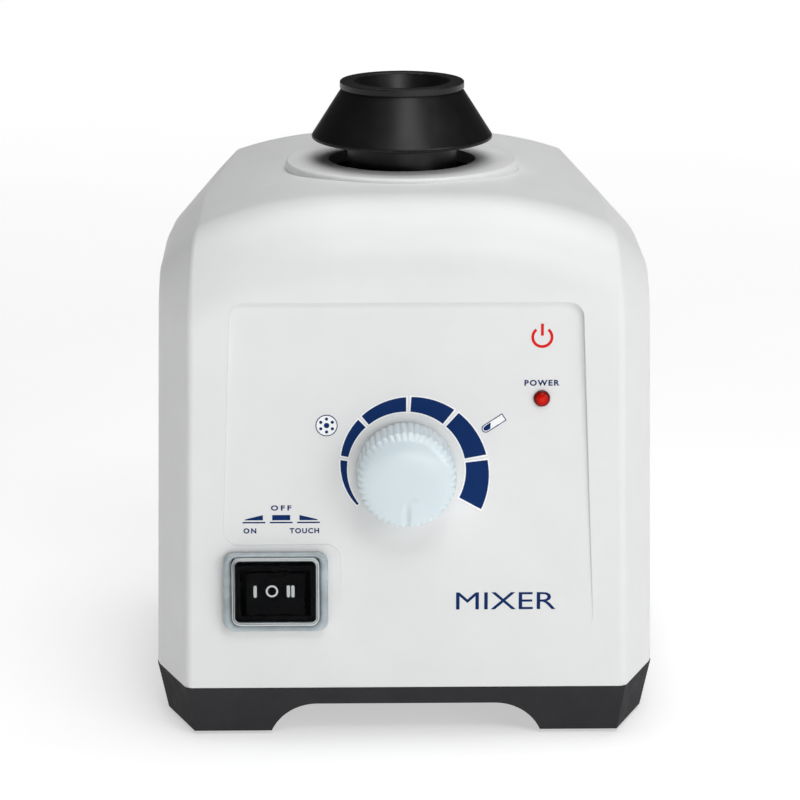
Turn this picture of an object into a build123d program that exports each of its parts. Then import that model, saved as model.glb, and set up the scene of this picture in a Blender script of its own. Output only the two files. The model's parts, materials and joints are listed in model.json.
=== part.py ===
from build123d import *
import os
from math import asin, cos, degrees, radians, sin, sqrt

# Vortex mixer for laboratory tubes.  Millimetres, +Z up.
# The pieces are drawn about the motor axis (x = 0, y = 0) with z = 0 on the
# underside of the base casting.  PLACE then puts the origin on the surface that
# the mixer stands on, at the centre of the whole machine's footprint.

# ---- driving dimensions: housing and base
HALF_DEPTH = 65.0          # motor axis to the front and rear faces
SEAM_Z = 13.0              # joint between the dark base and the pale housing
CROWN_Z = 143.3            # highest line of the housing's top
SIDE_X = 67.3              # half width of the side walls at the seam
CORNER_X = 58.6            # half width of the front face at the seam
SIDE_DRAFT = 0.0168        # sides lean in by this much per millimetre of height
BEVEL_Y = 42.0             # the corner bevels meet the side walls here
BASE_TUCK = 2.8            # the base narrows by this much towards its underside
WALL = 2.2                 # thickness of the housing's sides and top
FRONT_WALL = 3.2           # thickness of the front wall behind the panel recess
FRONT_TOP_R = 21.0         # rounding of the front top edge
REAR_TOP_R = 16.0          # rounding of the rear top edge
CROWN_FLAT = 15.0          # half width of the top's flat middle
CROWN_R = 98.0             # radius of the top's curved flanks
SHOULDER_X = 53.6          # half width of the shoulders' front half at the height SHOULDER_Z
SHOULDER_Z = 136.0
SHOULDER_SLOPE = 1.11      # the shoulders fall by this much per millimetre outwards
SHOULDER_FALL = 0.117      # their rear half also falls by this much per millimetre of y
SHOULDER_BLEND_R = 90.0    # rounding between the shoulders' front and rear halves
CORNER_TAPER = 0.78        # the top corners' rounding shrinks by this much per millimetre outwards

# ---- driving dimensions: cup and its drive
ECCENTRICITY = 2.0         # orbit radius of the cup
ORBIT_Y = -ECCENTRICITY    # the cup's axis at rest
HOLE_R = 20.2              # hole in the top of the housing
BOSS_R = 32.0              # raised ring round the hole
BOSS_Z = 144.5
CUP_TOP_Z = 166.5

# ---- driving dimensions: controls
KNOB_Z = 73.0
KNOB_R = 13.2
KNOB_BACK_Y = -65.0
KNOB_FRONT_Y = -77.9
SWITCH_X = -34.6
SWITCH_Z = 39.9
LED_X = 35.6
LED_Z = 92.1
INLET_X = 28.0
INLET_Z = 40.0
INLET_PROUD = 2.6

PANEL_DEPTH = 1.4          # depth of the panel recess at its top edge
PANEL_TOP, PANEL_FOOT = 118.0, 28.4
PANEL_TOP_X = (-46.1, 46.2)
PANEL_FOOT_X = (-48.4, 49.8)
PANEL_CORNER_R = 4.0
NOTCH_X, NOTCH_Z = -17.3, 52.6     # the panel steps round the switch here
HOLE_WALL = 3.2            # thickness of the top round the hole
FLANK_R = 12.0             # rounding between the side walls and the bevels and shoulders
CREASE_R = 2.2             # rounding of the bevels' and shoulders' inner creases

# ---- inner dimensions
SCREW_R = 1.5
HOUSING_SCREW_X, HOUSING_SCREW_Y = 56.0, 30.0
HOUSING_BOSS_TOP = 34.0
HOUSING_BOSS_R = 4.2
HOUSING_RIB_HALF = 1.5
LIP_INSET = 3.5            # locating lip of the base, inside the housing
LIP_HEIGHT = 3.0
ARCH_FOOT = 36.0           # half width of the arch between the feet
ARCH_FLAT = 23.8           # half width of the arch's flat top
ARCH_Z = 8.1
VENT_COUNT = 5             # cooling slots through the base
VENT_Y, VENT_PITCH = -26.0, 8.0
VENT_LENGTH, VENT_WIDTH = 34.0, 3.0
FOOT_X, FOOT_Y = 49.5, 48.5
FOOT_R = 8.4
FOOT_RECESS = 2.0
POST_X, POST_Y = 40.0, 30.0
POST_R = 3.0
POST_FOOT_Z = 8.6
CLIP_Z = 34.6
BUSH_Z = 26.0
BUSH_R = 5.5
PLATE_Z = 27.0             # carriage plate
PLATE_TOP = 30.0
SPRING_R = 4.8
SPRING_WIRE = 0.55
SPRING_TURNS = 4.5
SENSOR_Y = 20.2            # pressure switch under the carriage
SENSOR_TOP = 23.0
SENSOR_SCREW_X = 5.0
LEVER_X, LEVER_Z = -8.0, 24.0
LEVER_LENGTH = 16.2
LEVER_RISE = 9.4
MOTOR_R = 32.0
MOTOR_SCREW_R = 28.5
MOTOR_SCREW_ANGLES = (30, 150, 270)
STACK_Z, STACK_TOP = 52.0, 92.0
MOTOR_TOP = 110.0
YOKE_R = 27.0
BORE_R = 17.0
COIL_PROUD = 4.0
SHAFT_R = 4.0
SHAFT_TOP = 125.0
BEARING_Z = (33.2, 100.0)
BEARING_WIDTH = 7.0
BEARING_R = 11.0
FAN_Z = 41.0
FAN_R = 24.0
PIN_R = 2.0
PIN_CIRCLE_R = 20.0
PIN_ANGLES = (90, 210, 330)
PIN_TOP = 138.2
HUB_Z, HUB_TOP = 113.0, 126.0
CRANK_R = 3.5
ORBIT_BEARING_Z = 133.0
ORBIT_BEARING_WIDTH = 6.0
ORBIT_BEARING_R = 9.5
FLANGE_R = 26.0
FLANGE_Z, FLANGE_TOP = 133.2, 138.8
STUB_R = 11.0
STUB_TOP = 149.0
GUARD_TOP = 140.3
STEM_R = 15.0
MOUTH_R = 13.0
WELL_Z = 153.0             # bottom of the cup's hollow
RIM_R = 17.0
RIM_THICK = 1.35
SKIRT_R = 24.9
SKIRT_Z = 151.5
KNOB_FLUTES = 44
FLUTE_R = 0.55
KNOB_DOME = 1.4            # rise of the knob's face from its edge to its middle
KNOB_EDGE_R = 2.2
KNOB_HOLLOW_R = 8.6
KNOB_HOLLOW = 4.6          # depth of the hollow behind the knob
KNOB_BORE = 10.2
POINTER_HALF = 0.9
POINTER_LENGTH = 4.2
POT_SHAFT_R = 3.0
POT_NECK_R = 4.5
POT_R = 12.0
LED_R = 2.05
LED_TIP_Y = -65.7
LED_DOME_R = 3.0
LED_COLLAR_R = 2.55        # the collar that the clip presses against the wall
LED_COLLAR_Y = -61.7
ROCKER_HALF = 7.75
ROCKER_HALF_HEIGHT = 5.7
ROCKER_PIVOT_Y = -62.0
BEZEL_HALF_X, BEZEL_HALF_Z = 11.1, 7.7
BEZEL_FACE_Y = -67.0
SWITCH_HALF_X, SWITCH_HALF_Z = 12.4, 8.8       # the switch's body behind its bezel
SWITCH_BACK_Y = -43.0
BOOT_HALF_X, BOOT_HALF_Z = 13.95, 11.15
BOOT_FACE_Y = -68.4
DOME_HALF_X, DOME_HALF_Z = 11.7, 8.6
DOME_FACE_Y = -70.2
DOME_WALL = 1.1
DOME_SKIN = 0.6
BOARD_Y = 50.0
BOARD_THICK = 1.6
BOARD_X0, BOARD_X1 = -54.0, -6.0
BOARD_Z0, BOARD_Z1 = 26.0, 82.0
BOARD_SCREW_X = (-50.0, -10.0)
BOARD_SCREW_Z = (30.0, 78.0)
INLET_LOW, INLET_HIGH = 24.5, 57.5
INLET_HALF_X = 13.5
INLET_FLANGE_HALF = 25.0
INLET_BACK_Y = 43.0
INLET_BLADE_X = 7.0
INLET_SCREW_X = 19.5
INLET_FACE = HALF_DEPTH + INLET_PROUD
SOCKET_Z = 47.2
SOCKET_HALF_X, SOCKET_HALF_Z = 12.2, 8.3
FUSE_Z = 31.0
FUSE_LENGTH = 20.0
FUSE_CAP = 5.5

FOOT_PROUD = 1.0
KNOB_PROUD = -HALF_DEPTH - KNOB_FRONT_Y
AXIS_Y = (KNOB_PROUD - INLET_PROUD) / 2
PLACE = Pos(0, AXIS_Y, FOOT_PROUD)

BOTTOM = (Align.CENTER, Align.CENTER, Align.MIN)
FACING = Rot(90, 0, 0)     # turns a piece drawn along +Z to point out of the front


# ---- small helpers
def rod(radius, z0, z1, x=0, y=0):
    return Pos(x, y, z0) * Cylinder(radius, z1 - z0, align=BOTTOM)


def ring(r_out, r_in, z0, z1, x=0, y=0):
    return rod(r_out, z0, z1, x, y) - rod(r_in, z0, z1, x, y)


def rod_y(radius, y0, y1, x=0, z=0):
    return Pos(x, y0, z) * Rot(-90, 0, 0) * Cylinder(radius, y1 - y0, align=BOTTOM)


def block(x0, x1, y0, y1, z0, z1):
    centre = Pos((x0 + x1) / 2, (y0 + y1) / 2, (z0 + z1) / 2)
    return centre * Box(x1 - x0, y1 - y0, z1 - z0)


def centred(x, z, half_x, half_z, y0, y1):
    """A block given by its middle and half sizes seen from the front."""
    return block(x - half_x, x + half_x, y0, y1, z - half_z, z + half_z)


def round_block(x0, x1, y0, y1, z0, z1, radius):
    """A block whose four corners seen from the front are rounded."""
    plane = Plane(origin=((x0 + x1) / 2, y1, (z0 + z1) / 2), x_dir=(1, 0, 0), z_dir=(0, -1, 0))
    return extrude(plane * RectangleRounded(x1 - x0, z1 - z0, radius), amount=y1 - y0)


def rounded_face(points):
    """A face from (x, y, corner radius) points."""
    face = make_face(Polyline([(x, y) for x, y, radius in points], close=True))
    for x, y, radius in points:
        if radius > 0:
            face = fillet(face.vertices().sort_by_distance((x, y, 0))[0], radius)
    return face


def turned(points, x=0, y=0):
    """A solid of revolution about a vertical axis from (radius, z) points."""
    outline = make_face(Polyline([(r, 0, z) for r, z in points], close=True))
    return Pos(x, y, 0) * revolve(outline, Axis.Z)


def polar(radius, degrees_from_x):
    angle = radians(degrees_from_x)
    return radius * cos(angle), radius * sin(angle)


def corners(x, y):
    return [(x, y), (-x, y), (-x, -y), (x, -y)]


def group(shapes):
    return Compound(list(shapes))


def save(name, shape):
    export_step(PLACE * shape, "parts/" + name + ".step")


# ---- housing shape
def plan_face(z, inset=0.0):
    """The seam's outline in plan, drawn at height z: a rectangle with bevelled corners."""
    points = [(CORNER_X, -HALF_DEPTH), (SIDE_X, -BEVEL_Y), (SIDE_X, BEVEL_Y), (CORNER_X, HALF_DEPTH)]
    points += [(-x, y) for x, y in reversed(points)]
    face = make_face(Polyline(points, close=True))
    if inset > 0:
        face = offset(face, amount=-inset, kind=Kind.INTERSECTION)
    return Pos(0, 0, z) * face


def top_edges(sheet, y, reach):
    """The edges between the crowned top and the upright face at y."""
    upper = [e for e in sheet.edges() if e.center().Z > SEAM_Z + 80]
    return [e for e in upper if abs(e.center().Y - y) < 1 and abs(e.center().X) < reach - 1]


def crowned_block(inset):
    """The front, crowned top and rear as one smooth sheet, before the sides are cut."""
    reach = SIDE_X + 3
    top = CROWN_Z - inset
    radius = CROWN_R - inset
    edge_z = top - radius + sqrt(radius ** 2 - (reach - CROWN_FLAT) ** 2)
    outline = Polyline((-reach, SEAM_Z - 5), (reach, SEAM_Z - 5), (reach, edge_z))
    outline += RadiusArc((reach, edge_z), (CROWN_FLAT, top), -radius)
    outline += Line((CROWN_FLAT, top), (-CROWN_FLAT, top))
    outline += RadiusArc((-CROWN_FLAT, top), (-reach, edge_z), -radius)
    outline += Line((-reach, edge_z), (-reach, SEAM_Z - 5))
    depth = HALF_DEPTH - inset
    sheet = extrude(Plane.XZ * make_face(outline), amount=depth, both=True)
    sheet = fillet(top_edges(sheet, -depth, reach), FRONT_TOP_R - inset)
    return fillet(top_edges(sheet, depth, reach), REAR_TOP_R - inset)


def side_prism(inset, z_low):
    """The space between the two side walls, which lean in towards the top."""
    high_z = CROWN_Z + 10
    low = SIDE_X - inset - SIDE_DRAFT * (z_low - SEAM_Z)
    high = SIDE_X - inset - SIDE_DRAFT * (high_z - SEAM_Z)
    points = [(low, z_low), (high, high_z), (-high, high_z), (-low, z_low)]
    face = make_face(Polyline([(x, 0, z) for x, z in points], close=True))
    return extrude(face, amount=HALF_DEPTH + 10, both=True, dir=(0, 1, 0))


def flank_section(x, inset, z_low):
    """The limit that the bevels and shoulders set at distance x from the middle, seen from the side."""
    bevel_rate = (HALF_DEPTH - BEVEL_Y) / (SIDE_X - CORNER_X)
    set_back = bevel_rate * (x - CORNER_X) + inset * sqrt(1 + bevel_rate ** 2)
    drop = SHOULDER_SLOPE * (x - SHOULDER_X) + inset * sqrt(1 + SHOULDER_SLOPE ** 2)
    taper = CORNER_TAPER * (x - CORNER_X) + 2 * inset

    def reach(z):
        return HALF_DEPTH - set_back - bevel_rate * SIDE_DRAFT * (z - SEAM_Z)

    top = SHOULDER_Z - drop
    rear_top = top - SHOULDER_FALL * reach(top)
    front_corner = (x, -reach(top), top)
    rear_corner = (x, reach(rear_top), rear_top)
    points = [(x, -reach(z_low), z_low), front_corner, (x, 0, top), rear_corner, (x, reach(z_low), z_low)]
    face = make_face(Polyline(points, close=True))
    roundings = [(front_corner, FRONT_TOP_R - taper), (rear_corner, REAR_TOP_R - taper),
                 ((x, 0, top), SHOULDER_BLEND_R)]
    for point, radius in roundings:
        face = fillet(face.vertices().sort_by_distance(point)[0], radius)
    return face


def housing_form(inset=0.0, z_low=SEAM_Z):
    """The closed outer form of the housing, or the same form set in from it."""
    form = crowned_block(inset) & side_prism(inset, z_low)
    middle, beyond = 20.0, SIDE_X + 1
    flank = loft([flank_section(middle, inset, z_low), flank_section(beyond, inset, z_low)], ruled=True)
    outside = block(middle, SIDE_X + 10, -100, 100, 0, 200) - flank
    return form - outside - mirror(outside, Plane.YZ)


def crease_angle(form, edge):
    """The angle, in degrees, between the two faces that meet at an edge."""
    faces = [face for face in form.faces() if any(edge.is_same(other) for other in face.edges())]
    middle = edge @ 0.5
    return faces[0].normal_at(middle).get_angle(faces[1].normal_at(middle)) if len(faces) == 2 else 0


def soften(form):
    """Rounds the housing's creases: broadly round the side walls, finely along the front, top and rear."""
    wall_x = SIDE_X - SIDE_DRAFT * (CROWN_Z - SEAM_Z) - 0.5
    upper = [e for e in form.edges() if e.center().Z > SEAM_Z + 1]
    form = fillet([e for e in upper if min(abs((e @ share).X) for share in (0, 0.5, 1)) > wall_x], FLANK_R)
    sharp = [e for e in form.edges() if e.center().Z > SEAM_Z + 1 and crease_angle(form, e) > 6]
    return fillet(sharp, CREASE_R)


def make_panel_recess():
    """The shallow panel in the front wall: deepest at its top, flush at its foot."""
    points = [(PANEL_TOP_X[0], PANEL_TOP), (PANEL_TOP_X[1], PANEL_TOP), (PANEL_FOOT_X[1], PANEL_FOOT),
              (NOTCH_X, PANEL_FOOT), (NOTCH_X, NOTCH_Z), (PANEL_FOOT_X[0], NOTCH_Z)]
    outline = make_face(Polyline([(x, 0, z) for x, z in points], close=True))
    outline = fillet(outline.vertices(), PANEL_CORNER_R)
    plug = Pos(0, -HALF_DEPTH - 2, 0) * extrude(outline, amount=-6, dir=(0, -1, 0))
    slope = PANEL_DEPTH / (PANEL_TOP - PANEL_FOOT)
    above = PANEL_TOP + 5
    front = -HALF_DEPTH - 3
    wedge = [(front, PANEL_FOOT), (-HALF_DEPTH, PANEL_FOOT),
             (-HALF_DEPTH + slope * (above - PANEL_FOOT), above), (front, above)]
    side = make_face(Polyline([(0, y, z) for y, z in wedge], close=True))
    return plug & (Pos(-60, 0, 0) * extrude(side, amount=120, dir=(1, 0, 0)))


def make_upper_housing():
    outer = soften(housing_form())
    boss = rod(BOSS_R, CROWN_Z - 4, BOSS_Z)
    boss = fillet(boss.edges().sort_by(Axis.Z)[-1], 1.0)
    room = housing_form(WALL, SEAM_Z - 1) & block(-80, 80, FRONT_WALL - HALF_DEPTH, 80, 0, 200)
    shell = outer + boss - room
    shell -= rod(BOSS_R - 2, CROWN_Z - 6, BOSS_Z - HOLE_WALL)
    shell -= rod(HOLE_R, CROWN_Z - 10, BOSS_Z + 5)
    for x, y in corners(HOUSING_SCREW_X, HOUSING_SCREW_Y):
        post = rod(HOUSING_BOSS_R, SEAM_Z, HOUSING_BOSS_TOP, x, y)
        inner_x, outer_x = sorted((x, SIDE_X if x > 0 else -SIDE_X))
        rib_foot = SEAM_Z + LIP_HEIGHT + 1
        rib = block(inner_x, outer_x, y - HOUSING_RIB_HALF, y + HOUSING_RIB_HALF, rib_foot, HOUSING_BOSS_TOP)
        shell += (post + rib) & housing_form()
        shell -= rod(SCREW_R + 0.05, SEAM_Z - 1, HOUSING_BOSS_TOP - 3, x, y)
    for x in BOARD_SCREW_X:
        for z in BOARD_SCREW_Z:
            shell += rod_y(3.0, BOARD_Y + BOARD_THICK, HALF_DEPTH - 1, x, z)
            shell -= rod_y(1.3, BOARD_Y, HALF_DEPTH - 4, x, z)
    shell -= make_panel_recess()
    shell -= centred(SWITCH_X, SWITCH_Z, SWITCH_HALF_X + 0.2, SWITCH_HALF_Z + 0.2, -70, -55)
    shell -= rod_y(POT_NECK_R + 0.1, -70, -55, 0, KNOB_Z)
    shell -= rod_y(LED_R + 0.1, -70, -55, LED_X, LED_Z)
    cutout = INLET_HALF_X + 0.3
    shell -= block(INLET_X - cutout, INLET_X + cutout, 55, 70, INLET_LOW - 0.3, INLET_HIGH + 0.3)
    for side in (-1, 1):
        shell -= rod_y(1.6, 55, 70, INLET_X + side * INLET_SCREW_X, INLET_Z)
    return shell


# ---- base
def arch():
    """The opening under the base between two feet, as a bar along Y."""
    run = ARCH_FOOT - ARCH_FLAT
    radius = (run ** 2 + ARCH_Z ** 2) / (2 * ARCH_Z)
    start = degrees(asin((radius - ARCH_Z) / radius))
    outline = Polyline((-ARCH_FOOT, 0), (-ARCH_FOOT, -1), (ARCH_FOOT, -1), (ARCH_FOOT, 0))
    outline += CenterArc((ARCH_FLAT, ARCH_Z - radius), radius, start, 90 - start)
    outline += Line((ARCH_FLAT, ARCH_Z), (-ARCH_FLAT, ARCH_Z))
    outline += CenterArc((-ARCH_FLAT, ARCH_Z - radius), radius, 90, 90 - start)
    return extrude(Plane.XZ * make_face(outline), amount=100, both=True)


def make_base_casting():
    foot = Pos(0, 0, -SEAM_Z) * plan_face(SEAM_Z, BASE_TUCK)
    body = loft([foot, plan_face(SEAM_Z)], ruled=True)
    body -= arch()
    body -= Rot(0, 0, 90) * arch()
    lip = extrude(plan_face(SEAM_Z, LIP_INSET), amount=LIP_HEIGHT, dir=(0, 0, 1))
    lip -= extrude(plan_face(SEAM_Z, LIP_INSET + 1.8), amount=LIP_HEIGHT + 1, dir=(0, 0, 1))
    body += lip
    for x, y in corners(FOOT_X, FOOT_Y):
        body -= rod(FOOT_R + 0.15, -1, FOOT_RECESS, x, y)
        body -= rod(SCREW_R + 0.05, 0, 8, x, y)
    for x, y in corners(HOUSING_SCREW_X, HOUSING_SCREW_Y):
        body -= rod(SCREW_R + 0.1, 0, SEAM_Z + 1, x, y)
        body -= rod(3.3, 0, ARCH_Z + 2.2, x, y)
    for x, y in corners(POST_X, POST_Y):
        body -= rod(POST_R + 0.01, POST_FOOT_Z, SEAM_Z + 1, x, y)
    for index in range(VENT_COUNT):
        vent = SlotOverall(VENT_LENGTH, VENT_WIDTH)
        body -= extrude(Pos(0, VENT_Y + VENT_PITCH * index, 0) * vent, amount=SEAM_Z + 2)
    for x in (-SENSOR_SCREW_X, SENSOR_SCREW_X):
        body -= rod(1.05, ARCH_Z, SEAM_Z + 1, x, SENSOR_Y)
    return body


def make_foot(x, y):
    pad = rod(FOOT_R, -FOOT_PROUD, FOOT_RECESS, x, y)
    pad = fillet(pad.edges().sort_by(Axis.Z)[0], 0.5)
    pad -= rod(3.3, -2, 1.0, x, y)
    pad -= rod(SCREW_R + 0.1, 0, 3, x, y)
    return pad


def pan_screw(radius, head_r, head_z, tip_z, x, y, head_height=1.6):
    """A screw that points up from its head; the head has a cross recess."""
    screw = rod(head_r, head_z, head_z + head_height, x, y) + rod(radius, head_z, tip_z, x, y)
    for turn in (0, 90):
        screw -= Pos(x, y, head_z) * Rot(0, 0, turn) * Box(head_r * 1.1, 0.6, 1.4)
    return screw


def make_foot_screws():
    return group(pan_screw(SCREW_R, 3.0, -0.6, 7.4, x, y) for x, y in corners(FOOT_X, FOOT_Y))


def make_housing_screws():
    tip = HOUSING_BOSS_TOP - 4
    places = corners(HOUSING_SCREW_X, HOUSING_SCREW_Y)
    return group(pan_screw(SCREW_R, 3.0, ARCH_Z + 0.6, tip, x, y) for x, y in places)


# ---- sprung carriage
def make_guide_posts():
    groove = POST_R - 0.4
    outline = [(0, POST_FOOT_Z), (POST_R, POST_FOOT_Z), (POST_R, CLIP_Z - 0.05), (groove, CLIP_Z - 0.05),
               (groove, CLIP_Z + 1.05), (POST_R, CLIP_Z + 1.05), (POST_R, CLIP_Z + 2.5),
               (POST_R - 0.8, CLIP_Z + 3.3), (0, CLIP_Z + 3.3)]
    return group(turned(outline, x, y) for x, y in corners(POST_X, POST_Y))


def make_guide_clips():
    clips = []
    for x, y in corners(POST_X, POST_Y):
        clip = ring(5.0, POST_R - 0.35, CLIP_Z, CLIP_Z + 1, x, y)
        clips.append(clip - block(x - 1.4, x + 1.4, y, y + 6, CLIP_Z - 1, CLIP_Z + 2))
    return group(clips)


def make_guide_bushes():
    bore = POST_R + 0.06
    top = CLIP_Z - 0.1
    outline = [(bore, BUSH_Z), (7, BUSH_Z), (7, PLATE_Z), (BUSH_R, PLATE_Z), (BUSH_R, top), (bore, top)]
    return group(turned(outline, x, y) for x, y in corners(POST_X, POST_Y))


def make_carriage_springs():
    height = BUSH_Z - SEAM_Z - 2 * SPRING_WIRE - 0.1
    springs = []
    for x, y in corners(POST_X, POST_Y):
        path = Helix(pitch=height / SPRING_TURNS, height=height, radius=SPRING_R)
        start = Plane(origin=path @ 0, z_dir=path % 0)
        coil = sweep(start * Circle(SPRING_WIRE), path=path, is_frenet=True)
        springs.append(Pos(x, y, SEAM_Z + SPRING_WIRE + 0.05) * coil)
    return group(springs)


def make_carriage_plate():
    plate = block(-47, 47, -38, 38, PLATE_Z, PLATE_TOP)
    plate = fillet(plate.edges().filter_by(Axis.Z), 6)
    plate -= rod(9, PLATE_Z - 1, PLATE_TOP + 1)
    for x, y in corners(POST_X, POST_Y):
        plate -= rod(BUSH_R + 0.02, PLATE_Z - 1, PLATE_TOP + 1, x, y)
    for angle in MOTOR_SCREW_ANGLES:
        plate -= rod(SCREW_R + 0.1, PLATE_Z - 1, PLATE_TOP + 1, *polar(MOTOR_SCREW_R, angle))
    for angle in range(0, 360, 60):
        plate -= rod(3.5, PLATE_Z - 1, PLATE_TOP + 1, *polar(21, angle))
    return plate


# ---- pressure sensor
def make_microswitch_body():
    y0, y1 = SENSOR_Y - 3.2, SENSOR_Y + 3.2
    body = block(-10, 10, y0, y1, SEAM_Z, SENSOR_TOP)
    body += rod(0.9, SENSOR_TOP - 1, SENSOR_TOP + 0.6, -3, SENSOR_Y)
    for low, high in ((y0, y0 + 1), (y1 - 1, y1)):
        body += block(LEVER_X - 1.2, LEVER_X + 1.2, low, high, SENSOR_TOP - 1, LEVER_Z + 1)
    body -= rod_y(0.55, y0 - 1, y1 + 1, LEVER_X, LEVER_Z)
    body -= block(LEVER_X - 1.1, LEVER_X + 1.1, y0 + 1, y1 - 1, LEVER_Z - 0.9, LEVER_Z + 2)
    for x in (-SENSOR_SCREW_X, SENSOR_SCREW_X):
        body -= rod(1.1, SEAM_Z - 1, SEAM_Z + 2.6, x, SENSOR_Y)
    return body


def make_microswitch_screws():
    places = (-SENSOR_SCREW_X, SENSOR_SCREW_X)
    return group(rod(1.0, ARCH_Z + 0.1, SEAM_Z + 2.4, x, SENSOR_Y) for x in places)


def make_microswitch_lever():
    lever = Pos(LEVER_LENGTH / 2, 0, 0) * Box(LEVER_LENGTH, 3.6, 0.4)
    lever = Pos(LEVER_X, SENSOR_Y, LEVER_Z) * Rot(0, -LEVER_RISE, 0) * lever
    return lever + rod_y(0.5, SENSOR_Y - 3.1, SENSOR_Y + 3.1, LEVER_X, LEVER_Z)


# ---- motor
def bearing_races(z0, width, bore_r, outer_r, x=0, y=0):
    """An outer race, and an inner race together with its balls."""
    track = (bore_r + outer_r) / 2
    ball = (outer_r - bore_r) * 0.26
    middle = z0 + width / 2
    groove = Pos(x, y, middle) * Torus(track, ball + 0.05)
    outer = ring(outer_r, track + 0.7 * ball, z0, z0 + width, x, y) - groove
    inner = ring(track - 0.7 * ball, bore_r, z0, z0 + width, x, y) - groove
    balls = []
    for angle in range(0, 360, 45):
        ball_x, ball_y = polar(track, angle)
        balls.append(Pos(x + ball_x, y + ball_y, middle) * Sphere(ball))
    return outer, [inner] + balls


def make_bearing_outer_rings():
    return group(bearing_races(z, BEARING_WIDTH, SHAFT_R + 0.01, BEARING_R)[0] for z in BEARING_Z)


def make_bearing_inner_rings():
    pieces = []
    for z in BEARING_Z:
        pieces += bearing_races(z, BEARING_WIDTH, SHAFT_R + 0.01, BEARING_R)[1]
    return group(pieces)


def screw_columns(z0, z1):
    columns = [rod(3.2, z0, z1, *polar(MOTOR_SCREW_R, angle)) for angle in MOTOR_SCREW_ANGLES]
    shape = columns[0] + columns[1] + columns[2]
    return shape & rod(MOTOR_R, z0, z1)


def screw_holes(z0, z1):
    holes = [rod(SCREW_R + 0.1, z0, z1, *polar(MOTOR_SCREW_R, angle)) for angle in MOTOR_SCREW_ANGLES]
    return holes[0] + holes[1] + holes[2]


def side_windows(z0, z1):
    window = block(MOTOR_R - 5, MOTOR_R + 2, -5, 5, z0, z1)
    window = fillet(window.edges().filter_by(Axis.X), 1.5)
    return [Rot(0, 0, angle) * window for angle in range(0, 360, 60)]


def make_motor_lower_bell():
    bell = rod(MOTOR_R, PLATE_TOP, STACK_Z) - rod(MOTOR_R - 2.5, PLATE_TOP + 3, STACK_Z + 1)
    bell += screw_columns(PLATE_TOP, STACK_Z)
    seat_z = BEARING_Z[0] + BEARING_WIDTH
    bell += ring(BEARING_R + 3, BEARING_R + 0.01, PLATE_TOP + 2, seat_z)
    bell -= rod(8, PLATE_TOP - 1, PLATE_TOP + 4)
    bell -= screw_holes(PLATE_TOP - 1, STACK_Z + 1)
    for angle in range(0, 360, 60):
        bell -= rod(3.5, PLATE_TOP - 1, PLATE_TOP + 4, *polar(21, angle))
    for window in side_windows(PLATE_TOP + 9, PLATE_TOP + 17):
        bell -= window
    return bell


def make_motor_upper_bell():
    bell = rod(MOTOR_R, STACK_TOP, MOTOR_TOP) - rod(MOTOR_R - 2.5, STACK_TOP - 1, MOTOR_TOP - 3)
    bell += screw_columns(STACK_TOP, MOTOR_TOP)
    bell += ring(BEARING_R + 3, BEARING_R + 0.01, BEARING_Z[1], MOTOR_TOP - 2)
    bell = fillet(bell.edges().filter_by(GeomType.CIRCLE).group_by(Axis.Z)[-1].sort_by(SortBy.RADIUS)[-1], 2)
    bell -= rod(6.5, MOTOR_TOP - 5, MOTOR_TOP + 1)
    bell -= screw_holes(STACK_TOP - 1, MOTOR_TOP - 1)
    for angle in PIN_ANGLES:
        bell -= rod(PIN_R + 0.01, MOTOR_TOP - 4, MOTOR_TOP + 1, *polar(PIN_CIRCLE_R, angle))
    for window in side_windows(STACK_TOP + 4, STACK_TOP + 10):
        bell -= window
    return bell


def make_motor_stator():
    stator = ring(MOTOR_R, YOKE_R, STACK_Z, STACK_TOP)
    for angle in range(0, 360, 60):
        pole = block(BORE_R - 1, YOKE_R + 0.5, -4, 4, STACK_Z, STACK_TOP)
        shoe = block(BORE_R - 1, BORE_R + 2.2, -6.5, 6.5, STACK_Z, STACK_TOP)
        stator += Rot(0, 0, angle) * (pole + shoe)
    stator -= rod(BORE_R, STACK_Z - 1, STACK_TOP + 1)
    return stator - screw_holes(STACK_Z - 1, STACK_TOP + 1)


def make_motor_windings():
    coil = block(BORE_R + 3, YOKE_R - 1.3, -7, 7, STACK_Z - COIL_PROUD, STACK_TOP + COIL_PROUD)
    coil = fillet(coil.edges().filter_by(Axis.X), 3)
    coil -= block(BORE_R, YOKE_R + 1, -4.05, 4.05, STACK_Z - 0.05, STACK_TOP + 0.05)
    return group(Rot(0, 0, angle) * coil for angle in range(0, 360, 60))


def make_motor_screws():
    head = PLATE_Z - 2
    places = [polar(MOTOR_SCREW_R, angle) for angle in MOTOR_SCREW_ANGLES]
    return group(pan_screw(SCREW_R, 2.9, head, MOTOR_TOP - 2, x, y, 2.0) for x, y in places)


def make_anti_rotation_pins():
    pins = []
    for angle in PIN_ANGLES:
        pin = rod(PIN_R, MOTOR_TOP - 3, PIN_TOP, *polar(PIN_CIRCLE_R, angle))
        pins.append(fillet(pin.edges().sort_by(Axis.Z)[-1], 0.5))
    return group(pins)


def make_motor_shaft():
    shaft = rod(SHAFT_R, PLATE_TOP + 1.5, SHAFT_TOP)
    return chamfer(shaft.edges().filter_by(GeomType.CIRCLE), 0.5)


def make_rotor_core():
    return ring(BORE_R - 0.4, SHAFT_R + 0.01, STACK_Z, STACK_TOP)


def make_rotor_end_rings():
    low = ring(BORE_R - 1.5, 9, STACK_Z - 3.5, STACK_Z)
    high = ring(BORE_R - 1.5, 9, STACK_TOP, STACK_TOP + 3.5)
    return group([low, high])


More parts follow.
